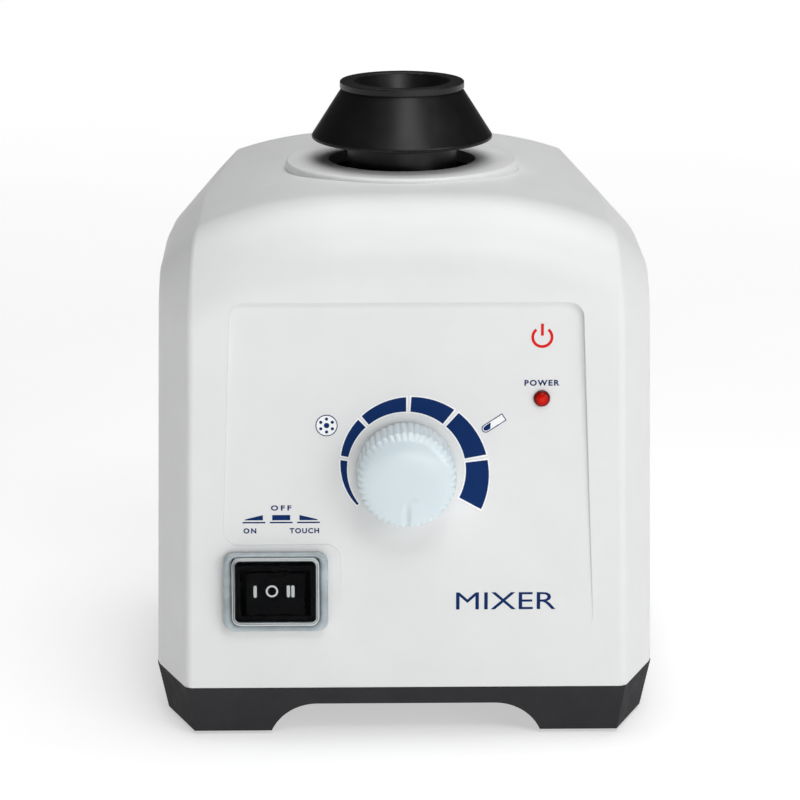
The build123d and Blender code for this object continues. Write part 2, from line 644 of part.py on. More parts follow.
def make_cooling_fan():
    fan = ring(7, SHAFT_R + 0.01, FAN_Z, FAN_Z + 6) + ring(FAN_R, 6.5, FAN_Z + 5, FAN_Z + 6)
    for index in range(9):
        blade = block(6.5, FAN_R - 0.5, -0.6, 0.6, FAN_Z + 0.2, FAN_Z + 5.5)
        fan += Rot(0, 0, 40 * index) * blade
    return fan


def make_eccentric_hub():
    hub = rod(9.5, HUB_Z, HUB_TOP)
    hub += ring(17, 9, HUB_Z, HUB_TOP - 2) & block(-18, 18, 4, 18, HUB_Z, HUB_TOP)
    hub -= rod(SHAFT_R + 0.01, HUB_Z - 1, SHAFT_TOP + 0.2)
    hub += rod(5, HUB_TOP - 0.5, ORBIT_BEARING_Z - 0.1, 0, ORBIT_Y)
    hub += rod(CRANK_R, HUB_TOP, ORBIT_BEARING_Z + ORBIT_BEARING_WIDTH + 0.3, 0, ORBIT_Y)
    return hub - rod_y(2.02, -12, -SHAFT_R + 0.5, 0, HUB_Z + 6)


def make_eccentric_setscrew():
    screw = rod_y(2.0, -9.3, -SHAFT_R - 0.05, 0, HUB_Z + 6)
    socket = Pos(0, -9.4, HUB_Z + 6) * Rot(-90, 0, 0) * extrude(RegularPolygon(1.1, 6), amount=1.8)
    return screw - socket


# ---- cup
def orbit_bearing():
    bore_r = CRANK_R + 0.01
    return bearing_races(ORBIT_BEARING_Z, ORBIT_BEARING_WIDTH, bore_r, ORBIT_BEARING_R, 0, ORBIT_Y)


def make_cup_hub():
    seat = ORBIT_BEARING_R + 0.02
    ceiling = ORBIT_BEARING_Z + ORBIT_BEARING_WIDTH + 0.8
    outline = [(seat, FLANGE_Z), (FLANGE_R, FLANGE_Z), (FLANGE_R, FLANGE_TOP), (STUB_R, FLANGE_TOP),
               (STUB_R, STUB_TOP), (0, STUB_TOP), (0, ceiling), (seat, ceiling)]
    hub = turned(outline, 0, ORBIT_Y)
    for angle in PIN_ANGLES:
        x, y = polar(PIN_CIRCLE_R, angle)
        hub -= rod(PIN_R + ECCENTRICITY + 0.3, FLANGE_Z - 1, FLANGE_TOP + 1, x, y + ORBIT_Y)
    return hub


def make_drip_guard():
    guard = ring(FLANGE_R, STUB_R + 0.02, FLANGE_TOP, GUARD_TOP, 0, ORBIT_Y)
    return fillet(guard.edges().group_by(Axis.Z)[-1].sort_by(SortBy.RADIUS)[-1], 0.8)


def make_rubber_cup():
    socket_r = STUB_R + 0.02
    socket_z = STUB_TOP + 0.05
    rim_z = CUP_TOP_Z - RIM_THICK
    outline = [(socket_r, GUARD_TOP, 0), (STEM_R, GUARD_TOP, 0), (STEM_R, SKIRT_Z - 1.6, 1.2),
               (SKIRT_R - 0.5, SKIRT_Z - 0.9, 0.5), (SKIRT_R, SKIRT_Z, 0.5), (RIM_R - 0.5, rim_z, 0),
               (RIM_R, rim_z + 0.15, 0), (RIM_R, CUP_TOP_Z, 0.4), (MOUTH_R, CUP_TOP_Z, 0.4),
               (6.0, WELL_Z + 1, 4.0), (0, WELL_Z, 0), (0, socket_z, 0), (socket_r, socket_z, 0)]
    return Pos(0, ORBIT_Y, 0) * revolve(Plane.XZ * rounded_face(outline), Axis.Z)


# ---- front controls
def make_speed_knob():
    depth = KNOB_BACK_Y - KNOB_FRONT_Y
    edge = depth - KNOB_DOME
    outline = Polyline((0, depth), (0, 0), (KNOB_R, 0), (KNOB_R, edge))
    outline += ThreePointArc((KNOB_R, edge), (KNOB_R / 2, depth - KNOB_DOME / 4), (0, depth))
    face = make_face(outline)
    face = fillet(face.vertices().filter_by_position(Axis.Y, edge - 0.1, edge + 0.1), KNOB_EDGE_R)
    knob = revolve(Plane.XZ * face, Axis.Z)
    for index in range(KNOB_FLUTES):
        x, y = polar(KNOB_R + FLUTE_R / 2, 360 / KNOB_FLUTES * index)
        knob -= rod(FLUTE_R, -1, depth, x, y)
    pointer_end = POINTER_LENGTH - KNOB_R
    knob -= block(-POINTER_HALF, POINTER_HALF, -KNOB_R - 1, pointer_end, edge - 0.8, depth + 1)
    knob -= rod(KNOB_HOLLOW_R, -1, KNOB_HOLLOW)
    knob -= rod(POT_SHAFT_R + 0.02, 0, KNOB_BORE)
    return Pos(0, KNOB_BACK_Y, KNOB_Z) * FACING * knob


def make_pot_shaft():
    return rod_y(POT_SHAFT_R, KNOB_BACK_Y - KNOB_BORE + 0.2, -52, 0, KNOB_Z)


def make_speed_pot():
    inner_face = FRONT_WALL - HALF_DEPTH
    pot = rod_y(POT_R, inner_face + 0.05, -50, 0, KNOB_Z)
    pot += rod_y(POT_NECK_R, -68.6, inner_face + 1, 0, KNOB_Z)
    pot += block(-7, 7, -59.5, -57.5, KNOB_Z - POT_R - 5, KNOB_Z - POT_R + 2)
    return pot - rod_y(POT_SHAFT_R + 0.06, -70, -51.5, 0, KNOB_Z)


def make_pot_nut():
    nut = Pos(0, -64.5, KNOB_Z) * FACING * extrude(RegularPolygon(6.2, 6), amount=2.2)
    return nut - rod_y(POT_NECK_R + 0.02, -70, -60, 0, KNOB_Z)


def make_led_lens():
    dome = Pos(LED_X, LED_TIP_Y + LED_DOME_R, LED_Z) * Sphere(LED_DOME_R)
    stem = rod_y(LED_R, LED_TIP_Y + 2, -57, LED_X, LED_Z)
    lens = rod_y(LED_R, LED_TIP_Y, -57.5, LED_X, LED_Z) & (dome + stem)
    return lens + rod_y(LED_COLLAR_R, LED_COLLAR_Y, LED_COLLAR_Y + 1, LED_X, LED_Z)


def make_led_clip():
    bore = rod_y(LED_COLLAR_R + 0.05, -62, -58, LED_X, LED_Z)
    return rod_y(4.4, LED_COLLAR_Y, -58.5, LED_X, LED_Z) - bore


def make_switch_body():
    body = centred(SWITCH_X, SWITCH_Z, BEZEL_HALF_X, BEZEL_HALF_Z, BEZEL_FACE_Y, -64)
    body += centred(SWITCH_X, SWITCH_Z, SWITCH_HALF_X, SWITCH_HALF_Z, -64.9, SWITCH_BACK_Y)
    return body - centred(SWITCH_X, SWITCH_Z, ROCKER_HALF + 1.45, ROCKER_HALF_HEIGHT + 0.45, -68, -54)


def make_switch_terminals():
    blades = []
    for x in (-7, 0, 7):
        for z in (-4, 4):
            blades.append(centred(SWITCH_X + x, SWITCH_Z + z, 0.4, 2.4, SWITCH_BACK_Y, SWITCH_BACK_Y + 7))
    return group(blades)


def make_rocker():
    """The rocker, drawn looking down its pivot, with v measured out of the front."""
    end, height = ROCKER_HALF, ROCKER_HALF_HEIGHT
    outline = Line((-end, 6.0), (-end, 2.0))
    outline += Polyline((-end, 2.0), (-4.0, -4.0), (4.0, -4.0), (end, 2.0), (end, 6.0))
    outline += ThreePointArc((end, 6.0), (0, 5.3), (-end, 6.0))
    face = Plane(origin=(0, 0, -height), x_dir=(1, 0, 0), z_dir=(0, 0, 1)) * make_face(outline)
    rocker = extrude(face, amount=2 * height)
    return Pos(SWITCH_X, ROCKER_PIVOT_Y, SWITCH_Z) * Rot(180, 0, 0) * rocker


def make_switch_boot():
    """The clear rubber boot: a border that stands on the panel, and a dome over the rocker."""
    back = -HALF_DEPTH
    x, z = SWITCH_X, SWITCH_Z
    frame = round_block(x - BOOT_HALF_X, x + BOOT_HALF_X, BOOT_FACE_Y, back,
                        z - BOOT_HALF_Z, z + BOOT_HALF_Z, 2.2)
    frame = fillet(frame.faces().sort_by(Axis.Y)[0].edges(), 1.6)
    dome = round_block(x - DOME_HALF_X, x + DOME_HALF_X, DOME_FACE_Y, BOOT_FACE_Y + 0.9,
                       z - DOME_HALF_Z, z + DOME_HALF_Z, 2.0)
    dome = fillet(dome.faces().sort_by(Axis.Y)[0].edges(), 1.2)
    boot = frame + dome
    boot -= centred(x, z, BEZEL_HALF_X + 0.1, BEZEL_HALF_Z + 0.1, BEZEL_FACE_Y - 0.3, back + 1)
    room_x, room_z = DOME_HALF_X - DOME_WALL, DOME_HALF_Z - DOME_WALL
    return boot - centred(x, z, room_x, room_z, DOME_FACE_Y + DOME_SKIN, BEZEL_FACE_Y)


# ---- control board
def make_control_board():
    board = block(BOARD_X0, BOARD_X1, BOARD_Y, BOARD_Y + BOARD_THICK, BOARD_Z0, BOARD_Z1)
    for x in BOARD_SCREW_X:
        for z in BOARD_SCREW_Z:
            board -= rod_y(1.4, BOARD_Y - 1, BOARD_Y + 3, x, z)
    return board


def make_board_screws():
    screws = []
    for x in BOARD_SCREW_X:
        for z in BOARD_SCREW_Z:
            head = rod_y(2.3, BOARD_Y - 1.5, BOARD_Y, x, z)
            screws.append(head + rod_y(1.25, BOARD_Y - 1, BOARD_Y + 7, x, z))
    return group(screws)


def make_filter_capacitor():
    body = block(-50, -32, BOARD_Y - 8, BOARD_Y, 58, 72)
    return fillet(body.faces().sort_by(Axis.Y)[0].edges(), 0.8)


def make_suppression_choke():
    return Pos(-22, BOARD_Y - 3.6, 66) * Rot(90, 0, 0) * Torus(6.5, 3.5)


def make_triac():
    return block(-46, -36, BOARD_Y - 4.6, BOARD_Y - 0.2, 38, 53)


def make_triac_heatsink():
    sink = block(-49, -33, BOARD_Y - 6.4, BOARD_Y - 4.65, 36, 55)
    for index in range(5):
        x = -48.6 + 3.6 * index
        sink += block(x, x + 1.2, BOARD_Y - 13, BOARD_Y - 6, 36, 55)
    return sink


def make_terminal_block():
    body = block(-28, -13, BOARD_Y - 9, BOARD_Y, 34, 44)
    for x in (-25.5, -20.5, -15.5):
        body -= rod_y(1.6, BOARD_Y - 10, BOARD_Y - 5, x, 39)
    return body


# ---- mains inlet
def make_inlet_body():
    left, right = INLET_X - INLET_FLANGE_HALF, INLET_X + INLET_FLANGE_HALF
    flange = round_block(left, right, HALF_DEPTH, INLET_FACE, INLET_LOW - 1, INLET_HIGH + 1, 4)
    flange = chamfer(flange.faces().sort_by(Axis.Y)[-1].edges(), 0.5)
    left, right = INLET_X - INLET_HALF_X, INLET_X + INLET_HALF_X
    body = flange + block(left, right, INLET_BACK_Y, HALF_DEPTH + 1, INLET_LOW, INLET_HIGH)
    socket = block(INLET_X - SOCKET_HALF_X, INLET_X + SOCKET_HALF_X, 49, INLET_FACE + 1,
                   SOCKET_Z - SOCKET_HALF_Z, SOCKET_Z + SOCKET_HALF_Z)
    upper = [e for e in socket.edges().filter_by(Axis.Y) if e.center().Z > SOCKET_Z]
    body -= chamfer(upper, 3.5)
    body -= centred(INLET_X, FUSE_Z, 11.3, 3.4, 45, INLET_FACE + 1)
    body -= centred(INLET_X, FUSE_Z, 12.2, 4.4, INLET_FACE - 1.6, INLET_FACE + 1)
    for side in (-1, 1):
        x = INLET_X + side * INLET_SCREW_X
        body -= rod_y(1.6, 60, 70, x, INLET_Z) + rod_y(3.1, INLET_FACE - 1.4, 70, x, INLET_Z)
    for pin in inlet_blades(0.02):
        body -= pin
    return body


def inlet_blades(grow=0.0):
    half_x, half_z = 1.0 + grow, 1.8 + grow
    places = [(-INLET_BLADE_X, -2.0), (0, 2.0), (INLET_BLADE_X, -2.0)]
    return [centred(INLET_X + x, SOCKET_Z + z, half_x, half_z, 34, INLET_FACE - 3) for x, z in places]


def make_inlet_screws():
    screws = []
    for side in (-1, 1):
        x = INLET_X + side * INLET_SCREW_X
        screw = rod_y(1.5, 57, INLET_FACE - 1, x, INLET_Z)
        screw += rod_y(3.0, INLET_FACE - 1.35, INLET_FACE, x, INLET_Z)
        for half_x, half_z in ((0.35, 1.7), (1.7, 0.35)):
            screw -= centred(x, INLET_Z, half_x, half_z, INLET_FACE - 0.8, INLET_FACE + 1)
        screws.append(screw)
    return group(screws)


def make_fuse_drawer():
    drawer = centred(INLET_X, FUSE_Z, 11.1, 3.2, 47, INLET_FACE - 1)
    drawer += centred(INLET_X, FUSE_Z, 12.0, 4.2, INLET_FACE - 1.55, INLET_FACE)
    drawer -= block(INLET_X - 10.3, INLET_X + 10.3, 52, 58, FUSE_Z - 2.1, FUSE_Z + 5)
    return drawer - centred(INLET_X, FUSE_Z + 3.4, 4.0, 1.2, INLET_FACE - 0.8, INLET_FACE + 1)


def make_fuse_link():
    along_x = Pos(INLET_X - FUSE_LENGTH / 2, 55, FUSE_Z + 0.5) * Rot(0, 90, 0)
    cap = Cylinder(2.5, FUSE_CAP, align=BOTTOM)
    glass = Pos(0, 0, FUSE_CAP) * Cylinder(2.3, FUSE_LENGTH - 2 * FUSE_CAP, align=BOTTOM)
    return group([along_x * cap, along_x * glass, along_x * Pos(0, 0, FUSE_LENGTH - FUSE_CAP) * cap])


# ---- every piece, each to its own file
pieces = {
    "upper_housing": make_upper_housing(),
    "base_casting": make_base_casting(),
    "foot_front_left": make_foot(-FOOT_X, -FOOT_Y),
    "foot_front_right": make_foot(FOOT_X, -FOOT_Y),
    "foot_rear_left": make_foot(-FOOT_X, FOOT_Y),
    "foot_rear_right": make_foot(FOOT_X, FOOT_Y),
    "foot_screws": make_foot_screws(),
    "housing_screws": make_housing_screws(),
    "guide_posts": make_guide_posts(),
    "guide_clips": make_guide_clips(),
    "guide_bushes": make_guide_bushes(),
    "carriage_springs": make_carriage_springs(),
    "carriage_plate": make_carriage_plate(),
    "microswitch_body": make_microswitch_body(),
    "microswitch_screws": make_microswitch_screws(),
    "microswitch_lever": make_microswitch_lever(),
    "motor_lower_bell": make_motor_lower_bell(),
    "motor_upper_bell": make_motor_upper_bell(),
    "motor_stator": make_motor_stator(),
    "motor_windings": make_motor_windings(),
    "motor_screws": make_motor_screws(),
    "bearing_outer_rings": make_bearing_outer_rings(),
    "bearing_inner_rings": make_bearing_inner_rings(),
    "anti_rotation_pins": make_anti_rotation_pins(),
    "motor_shaft": make_motor_shaft(),
    "rotor_core": make_rotor_core(),
    "rotor_end_rings": make_rotor_end_rings(),
    "cooling_fan": make_cooling_fan(),
    "eccentric_hub": make_eccentric_hub(),
    "eccentric_setscrew": make_eccentric_setscrew(),
    "orbit_bearing_outer": orbit_bearing()[0],
    "orbit_bearing_inner": group(orbit_bearing()[1]),
    "cup_hub": make_cup_hub(),
    "drip_guard": make_drip_guard(),
    "rubber_cup": make_rubber_cup(),
    "speed_knob": make_speed_knob(),
    "pot_shaft": make_pot_shaft(),
    "speed_pot": make_speed_pot(),
    "pot_nut": make_pot_nut(),
    "led_lens": make_led_lens(),
    "led_clip": make_led_clip(),
    "switch_body": make_switch_body(),
    "switch_terminals": make_switch_terminals(),
    "switch_boot": make_switch_boot(),
    "rocker": make_rocker(),
    "control_board": make_control_board(),
    "board_screws": make_board_screws(),
    "filter_capacitor": make_filter_capacitor(),
    "suppression_choke": make_suppression_choke(),
    "triac": make_triac(),
    "triac_heatsink": make_triac_heatsink(),
    "terminal_block": make_terminal_block(),
    "inlet_body": make_inlet_body(),
    "inlet_pins": group(inlet_blades()),
    "inlet_screws": make_inlet_screws(),
    "fuse_drawer": make_fuse_drawer(),
    "fuse_link": make_fuse_link(),
}

os.makedirs("parts", exist_ok=True)
for name, shape in pieces.items():
    save(name, shape)
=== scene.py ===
import json
from math import cos, pi, radians, sin

import bmesh
import bpy
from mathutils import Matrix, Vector
from mathutils.bvhtree import BVHTree


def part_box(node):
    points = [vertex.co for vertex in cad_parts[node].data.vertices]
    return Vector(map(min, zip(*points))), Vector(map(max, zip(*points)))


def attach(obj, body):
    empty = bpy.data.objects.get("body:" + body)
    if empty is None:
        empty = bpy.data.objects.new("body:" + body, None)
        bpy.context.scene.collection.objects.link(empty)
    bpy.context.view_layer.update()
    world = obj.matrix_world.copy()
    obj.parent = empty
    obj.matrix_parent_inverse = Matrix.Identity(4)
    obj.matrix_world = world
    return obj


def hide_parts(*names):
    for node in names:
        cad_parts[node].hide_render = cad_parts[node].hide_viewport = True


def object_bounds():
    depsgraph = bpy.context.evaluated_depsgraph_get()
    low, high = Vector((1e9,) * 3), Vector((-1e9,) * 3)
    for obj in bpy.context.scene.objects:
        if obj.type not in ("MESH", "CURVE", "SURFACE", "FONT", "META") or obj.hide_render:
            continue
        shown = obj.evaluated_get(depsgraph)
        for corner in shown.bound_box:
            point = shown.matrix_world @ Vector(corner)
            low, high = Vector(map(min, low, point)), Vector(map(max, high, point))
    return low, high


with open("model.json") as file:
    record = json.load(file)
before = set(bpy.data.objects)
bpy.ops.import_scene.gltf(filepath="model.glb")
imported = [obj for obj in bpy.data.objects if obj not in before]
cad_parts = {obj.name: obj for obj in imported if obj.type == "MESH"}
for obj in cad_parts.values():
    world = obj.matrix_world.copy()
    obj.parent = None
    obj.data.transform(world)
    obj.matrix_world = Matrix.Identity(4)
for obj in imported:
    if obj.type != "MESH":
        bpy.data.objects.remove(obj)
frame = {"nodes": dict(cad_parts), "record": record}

# Looks of the bench vortex mixer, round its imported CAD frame.  Metres, +Z up, front towards -Y.
MM = 0.001
CAD_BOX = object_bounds()


def middle_of(node):
    low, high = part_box(node)
    return (low + high) / 2


AXIS = middle_of("motor_shaft")          # the motor's upright axis
CUP = middle_of("rubber_cup")
KNOB = middle_of("speed_knob")
LAMP = middle_of("led_lens")
SWITCH = middle_of("switch_boot")


# ---- shader graphs
class Shader:
    """One material's node graph, with short calls for the nodes that the finishes share."""

    def __init__(self, name):
        self.material = bpy.data.materials.new(name)
        self.material.use_nodes = True
        self.tree = self.material.node_tree
        self.tree.nodes.clear()
        self.place = self.add("TexCoord").outputs["Object"]

    def add(self, kind, inputs=None, **settings):
        node = self.tree.nodes.new("ShaderNode" + kind)
        for key, value in settings.items():
            setattr(node, key, value)
        for key, value in (inputs or {}).items():
            if isinstance(value, bpy.types.NodeSocket):
                self.tree.links.new(value, node.inputs[key])
            else:
                node.inputs[key].default_value = value
        return node

    def maths(self, operation, a, b=0.0):
        return self.add("Math", {0: a, 1: b}, operation=operation).outputs[0]

    def spread(self, value, low, high, out_low=0.0, out_high=1.0):
        """Maps a value from one range to another, smoothly and clamped."""
        inputs = {"Value": value, "From Min": low, "From Max": high, "To Min": out_low, "To Max": out_high}
        return self.add("MapRange", inputs, interpolation_type="SMOOTHSTEP").outputs["Result"]

    def stretched(self, scale):
        """Object coordinates multiplied by (x, y, z), so that a pattern runs along the smaller ones."""
        return self.add("Mapping", {"Vector": self.place, "Scale": scale}).outputs["Vector"]

    def noise(self, size, detail=3.0, stretch=None):
        """Cloudy noise whose features are about size metres across."""
        vector = self.stretched(stretch) if stretch else self.place
        inputs = {"Vector": vector, "Scale": 1 / size, "Detail": detail, "Roughness": 0.55}
        return self.add("TexNoise", inputs).outputs["Fac"]

    def cells(self, size):
        """Distance to the nearest of scattered points about size metres apart, as a share of size."""
        return self.add("TexVoronoi", {"Vector": self.place, "Scale": 1 / size}).outputs["Distance"]

    def blend(self, factor, first, second):
        node = self.add("Mix", data_type="RGBA")
        for index, value in ((0, factor), (6, first), (7, second)):
            if isinstance(value, bpy.types.NodeSocket):
                self.tree.links.new(value, node.inputs[index])
            else:
                node.inputs[index].default_value = value if index == 0 else (*value[:3], 1.0)
        return node.outputs[2]

    def rounded_normal(self, radius):
        return self.add("Bevel", {"Radius": radius}, samples=4).outputs["Normal"]

    def edge_mask(self, radius):
        """1 on sharp edges, 0 on open faces."""
        true_normal = self.add("NewGeometry").outputs["Normal"]
        pair = {0: self.rounded_normal(radius), 1: true_normal}
        likeness = self.add("VectorMath", pair, operation="DOT_PRODUCT").outputs["Value"]
        return self.spread(likeness, 0.995, 0.90)

    def bump(self, height, depth, normal=None, strength=1.0):
        """Adds a relief of a given depth on top of a normal."""
        inputs = {"Height": height, "Distance": depth, "Strength": strength}
        if normal is not None:
            inputs["Normal"] = normal
        return self.add("Bump", inputs).outputs["Normal"]

    def principled(self, **inputs):
        named = {key.replace("_", " ").title(): value for key, value in inputs.items()}
        named = {key.replace("Ior", "IOR"): value for key, value in named.items()}
        return self.add("BsdfPrincipled", named)

    def output(self, shader):
        self.add("OutputMaterial", {"Surface": shader.outputs[0]})
        return self.material


def shaded(colour, share):
    return tuple(channel * share for channel in colour[:3])


def moulded(name, colour, roughness, grain=0.35 * MM, depth=0.02 * MM, mottle=0.05, edge=0.25 * MM,
            wear_and_sheen=0.0, wear_and_sheen_colour=(0.5, 0.5, 0.5), **more):
    """Moulded plastic, rubber or paint: fine grain, faint clouding, softened edges and lighter edges, which
    are light wear, and on the cup also a painted highlight on its rims.
    """
    s = Shader(name)
    clouds = s.noise(14 * MM, 4)
    fine = s.noise(grain, 3)
    pits = s.cells(grain * 1.7)
    base = s.blend(s.spread(clouds, 0.3, 0.7), shaded(colour, 1 - mottle), shaded(colour, 1 + mottle * 0.4))
    base = s.blend(s.spread(fine, 0.62, 0.8, 0, mottle * 2), base, shaded(colour, 0.75))
    # Lighter edges: wear, and on the rubber cup partly a painted highlight on its rims.
    if wear_and_sheen > 0:
        patchy = s.spread(s.noise(3 * MM, 5), 0.42, 0.66)
        worn_and_sheen = s.maths("MULTIPLY", s.maths("MULTIPLY", s.edge_mask(edge * 1.6), patchy), wear_and_sheen)
        base = s.blend(worn_and_sheen, base, wear_and_sheen_colour)
    gloss = s.spread(s.noise(5 * MM, 5), 0.25, 0.75, roughness * 0.9, roughness * 1.12)
    height = s.maths("ADD", s.maths("MULTIPLY", pits, 0.6), s.maths("MULTIPLY", fine, 0.5))
    normal = s.bump(height, depth, s.rounded_normal(edge))
    return s.output(s.principled(base_color=base, roughness=gloss, normal=normal, **more))


def metal(name, colour, roughness, grain=0.25 * MM, depth=0.006 * MM, stretch=None, edge=0.2 * MM,
          stain=0.12, **more):
    """Bare or plated metal: brushed where stretched, cast where not, with faint staining."""
    s = Shader(name)
    stains = s.spread(s.noise(7 * MM, 5), 0.35, 0.7)
    base = s.blend(stains, colour, shaded(colour, 1 - stain))
    lines = s.noise(grain, 4, stretch)
    gloss = s.spread(s.maths("ADD", s.maths("MULTIPLY", lines, 0.6), s.maths("MULTIPLY", stains, 0.3)),
                     0.2, 0.75, roughness * 0.75, roughness * 1.3)
    normal = s.bump(lines, depth, s.rounded_normal(edge))
    return s.output(s.principled(base_color=base, metallic=1.0, roughness=gloss, normal=normal, **more))


def ink(name, colour):
    """Screen-printed ink: even, slightly glossy, with a fine mesh texture."""
    s = Shader(name)
    patchy = s.spread(s.noise(0.5 * MM, 4), 0.3, 0.75)
    base = s.blend(patchy, colour, shaded(colour, 1.12))
    gloss = s.spread(s.noise(1.5 * MM, 3), 0.3, 0.7, 0.48, 0.58)
    normal = s.bump(s.noise(0.12 * MM, 2), 0.004 * MM)
    return s.output(s.principled(base_color=base, roughness=gloss, ior=1.2, normal=normal))


# ---- finishes of the CAD pieces, one per material slot of the record
def housing_shell():
    return moulded("housing_shell", (0.80, 0.805, 0.805), 0.42, grain=0.55 * MM, depth=0.012 * MM,
                   mottle=0.014, edge=0.35 * MM, coat_weight=0.05, coat_roughness=0.3)


def base_paint():
    return moulded("base_paint", (0.037, 0.037, 0.0395), 0.66, grain=0.45 * MM, depth=0.03 * MM, mottle=0.10,
                   edge=0.35 * MM, wear_and_sheen=0.25, wear_and_sheen_colour=(0.10, 0.10, 0.105), ior=1.12)


def foot_rubber():
    return moulded("foot_rubber", (0.022, 0.022, 0.023), 0.78, depth=0.03 * MM, mottle=0.15, wear_and_sheen=0.3,
                   wear_and_sheen_colour=(0.09, 0.09, 0.09))


def cup_rubber():
    # Its lighter edges are partly wear and partly a painted highlight that brightens the rims.
    return moulded("cup_rubber", (0.0030, 0.0030, 0.0032), 0.38, grain=0.3 * MM, depth=0.008 * MM, mottle=0.2,
                   edge=0.15 * MM, wear_and_sheen=0.5, wear_and_sheen_colour=(0.05, 0.05, 0.052), ior=1.42)


def guard_plastic():
    return moulded("guard_plastic", (0.02, 0.02, 0.021), 0.55, mottle=0.12)


def knob_plastic():
    return moulded("knob_plastic", (0.67, 0.765, 0.805), 0.30, grain=0.3 * MM, depth=0.006 * MM, mottle=0.012,
                   edge=0.1 * MM, subsurface_weight=0.2, subsurface_scale=1.5 * MM,
                   subsurface_radius=(0.8, 1.0, 1.2), coat_weight=0.8, coat_roughness=0.25)


def black_plastic():
    return moulded("black_plastic", (0.022, 0.022, 0.024), 0.5, grain=0.4 * MM, depth=0.02 * MM, mottle=0.12,
                   wear_and_sheen=0.3, wear_and_sheen_colour=(0.1, 0.1, 0.1))


def switch_black():
    return moulded("switch_black", (0.0022, 0.0022, 0.0030), 0.26, grain=0.25 * MM, depth=0.003 * MM,
                   mottle=0.1, edge=0.3 * MM, ior=1.12)


def lamp_red():
    """A lit red lens: brighter in the middle, with a darker ring inside its rim."""
    s = Shader("lamp_red")
    centred = s.add("VectorMath", {0: s.place, 1: (LAMP.x, 0, LAMP.z)}, operation="SUBTRACT").outputs[0]
    flat = s.add("VectorMath", {0: centred, 1: (1, 0, 1)}, operation="MULTIPLY").outputs[0]
    radius = s.add("VectorMath", {0: flat}, operation="LENGTH").outputs["Value"]
    core = s.spread(radius, 1.3 * MM, 0.2 * MM)
    rim = s.spread(radius, 1.35 * MM, 1.95 * MM)
    base = s.blend(core, (0.46, 0.005, 0.002), (0.72, 0.010, 0.004))
    base = s.blend(rim, base, (0.16, 0.003, 0.002))
    glow = s.maths("MULTIPLY", core, 0.05)
    normal = s.bump(s.noise(0.6 * MM, 2), 0.01 * MM)
    return s.output(s.principled(base_color=base, roughness=0.2, ior=1.22, emission_color=base,
                                 emission_strength=glow, normal=normal))


def boot_clear():
    """Clear soft PVC where it is thin: see-through face on, glossy at a glance, with a pale skin mixed in
    there as a painted highlight on the dome's shoulders.
    """
    s = Shader("boot_clear")
    facing = s.add("LayerWeight", {"Blend": 0.5}).outputs["Facing"]
    waves = s.noise(6 * MM, 2)
    normal = s.bump(waves, 0.10 * MM, s.bump(s.noise(0.4 * MM, 3), 0.003 * MM), 0.4)
    # The pale tint is painted highlight: a light diffuse skin that stands in for the bright line along the
    # dome's shoulders.
    tint = s.blend(s.spread(waves, 0.35, 0.7), (0.86, 0.91, 0.93), (0.95, 0.97, 0.98))
    skin = s.principled(base_color=tint, roughness=0.12, normal=normal, coat_weight=0.4)
    clear = s.add("BsdfTransparent", {"Color": (0.99, 0.995, 0.998, 1)})
    # More of the pale skin, the painted highlight, at a glance than face on.
    share = s.spread(facing, 0.06, 0.70, 0.001, 0.92)
    return s.output(s.add("MixShader", {0: share, 1: clear.outputs[0], 2: skin.outputs[0]}))


def boot_thick():
    """The same PVC where it is thick: grey-blue and glassy, with faint streaks."""
    s = Shader("boot_thick")
    streaks = s.noise(7 * MM, 3)
    tint = s.blend(s.spread(streaks, 0.3, 0.72), (0.30, 0.35, 0.375), (0.46, 0.52, 0.55))
    normal = s.bump(s.noise(5 * MM, 2), 0.10 * MM, s.bump(s.noise(0.4 * MM, 3), 0.003 * MM), 0.5)
    return s.output(s.principled(base_color=tint, roughness=0.12, normal=normal, coat_weight=0.6,
                                 subsurface_weight=0.3, subsurface_scale=1.2 * MM,
                                 subsurface_radius=(0.8, 1.0, 1.1)))


def fuse_glass():
    s = Shader("fuse_glass")
    streaks = s.noise(0.8 * MM, 3, (1, 6, 6))
    clear = s.add("BsdfTransparent", {"Color": (0.9, 0.94, 0.95, 1)})
    skin = s.principled(base_color=(0.75, 0.8, 0.82, 1), roughness=0.08, normal=s.bump(streaks, 0.01 * MM))
    facing = s.add("LayerWeight", {"Blend": 0.4}).outputs["Facing"]
    share = s.spread(facing, 0.0, 0.8, 0.25, 0.9)
    return s.output(s.add("MixShader", {0: share, 1: clear.outputs[0], 2: skin.outputs[0]}))


def board_laminate():
    """Green circuit board: paler copper tracks under the lacquer."""
    s = Shader("board_laminate")
    inputs = {"Vector": s.stretched((1, 0, 1)), "Scale": 1 / (6 * MM)}
    cells = s.add("TexVoronoi", inputs, feature="DISTANCE_TO_EDGE", distance="EUCLIDEAN").outputs["Distance"]
    tracks = s.spread(cells, 0.06, 0.03)
    base = s.blend(tracks, (0.018, 0.13, 0.045), (0.06, 0.27, 0.10))
    weave = s.noise(0.3 * MM, 2, (1, 1, 4))
    height = s.maths("ADD", tracks, s.maths("MULTIPLY", weave, 0.3))
    normal = s.bump(height, 0.03 * MM, s.rounded_normal(0.1 * MM))
    return s.output(s.principled(base_color=base, roughness=0.32, normal=normal, coat_weight=0.4))


WAVE_PERIOD = 0.314                        # of a wave texture at scale 1, in metres


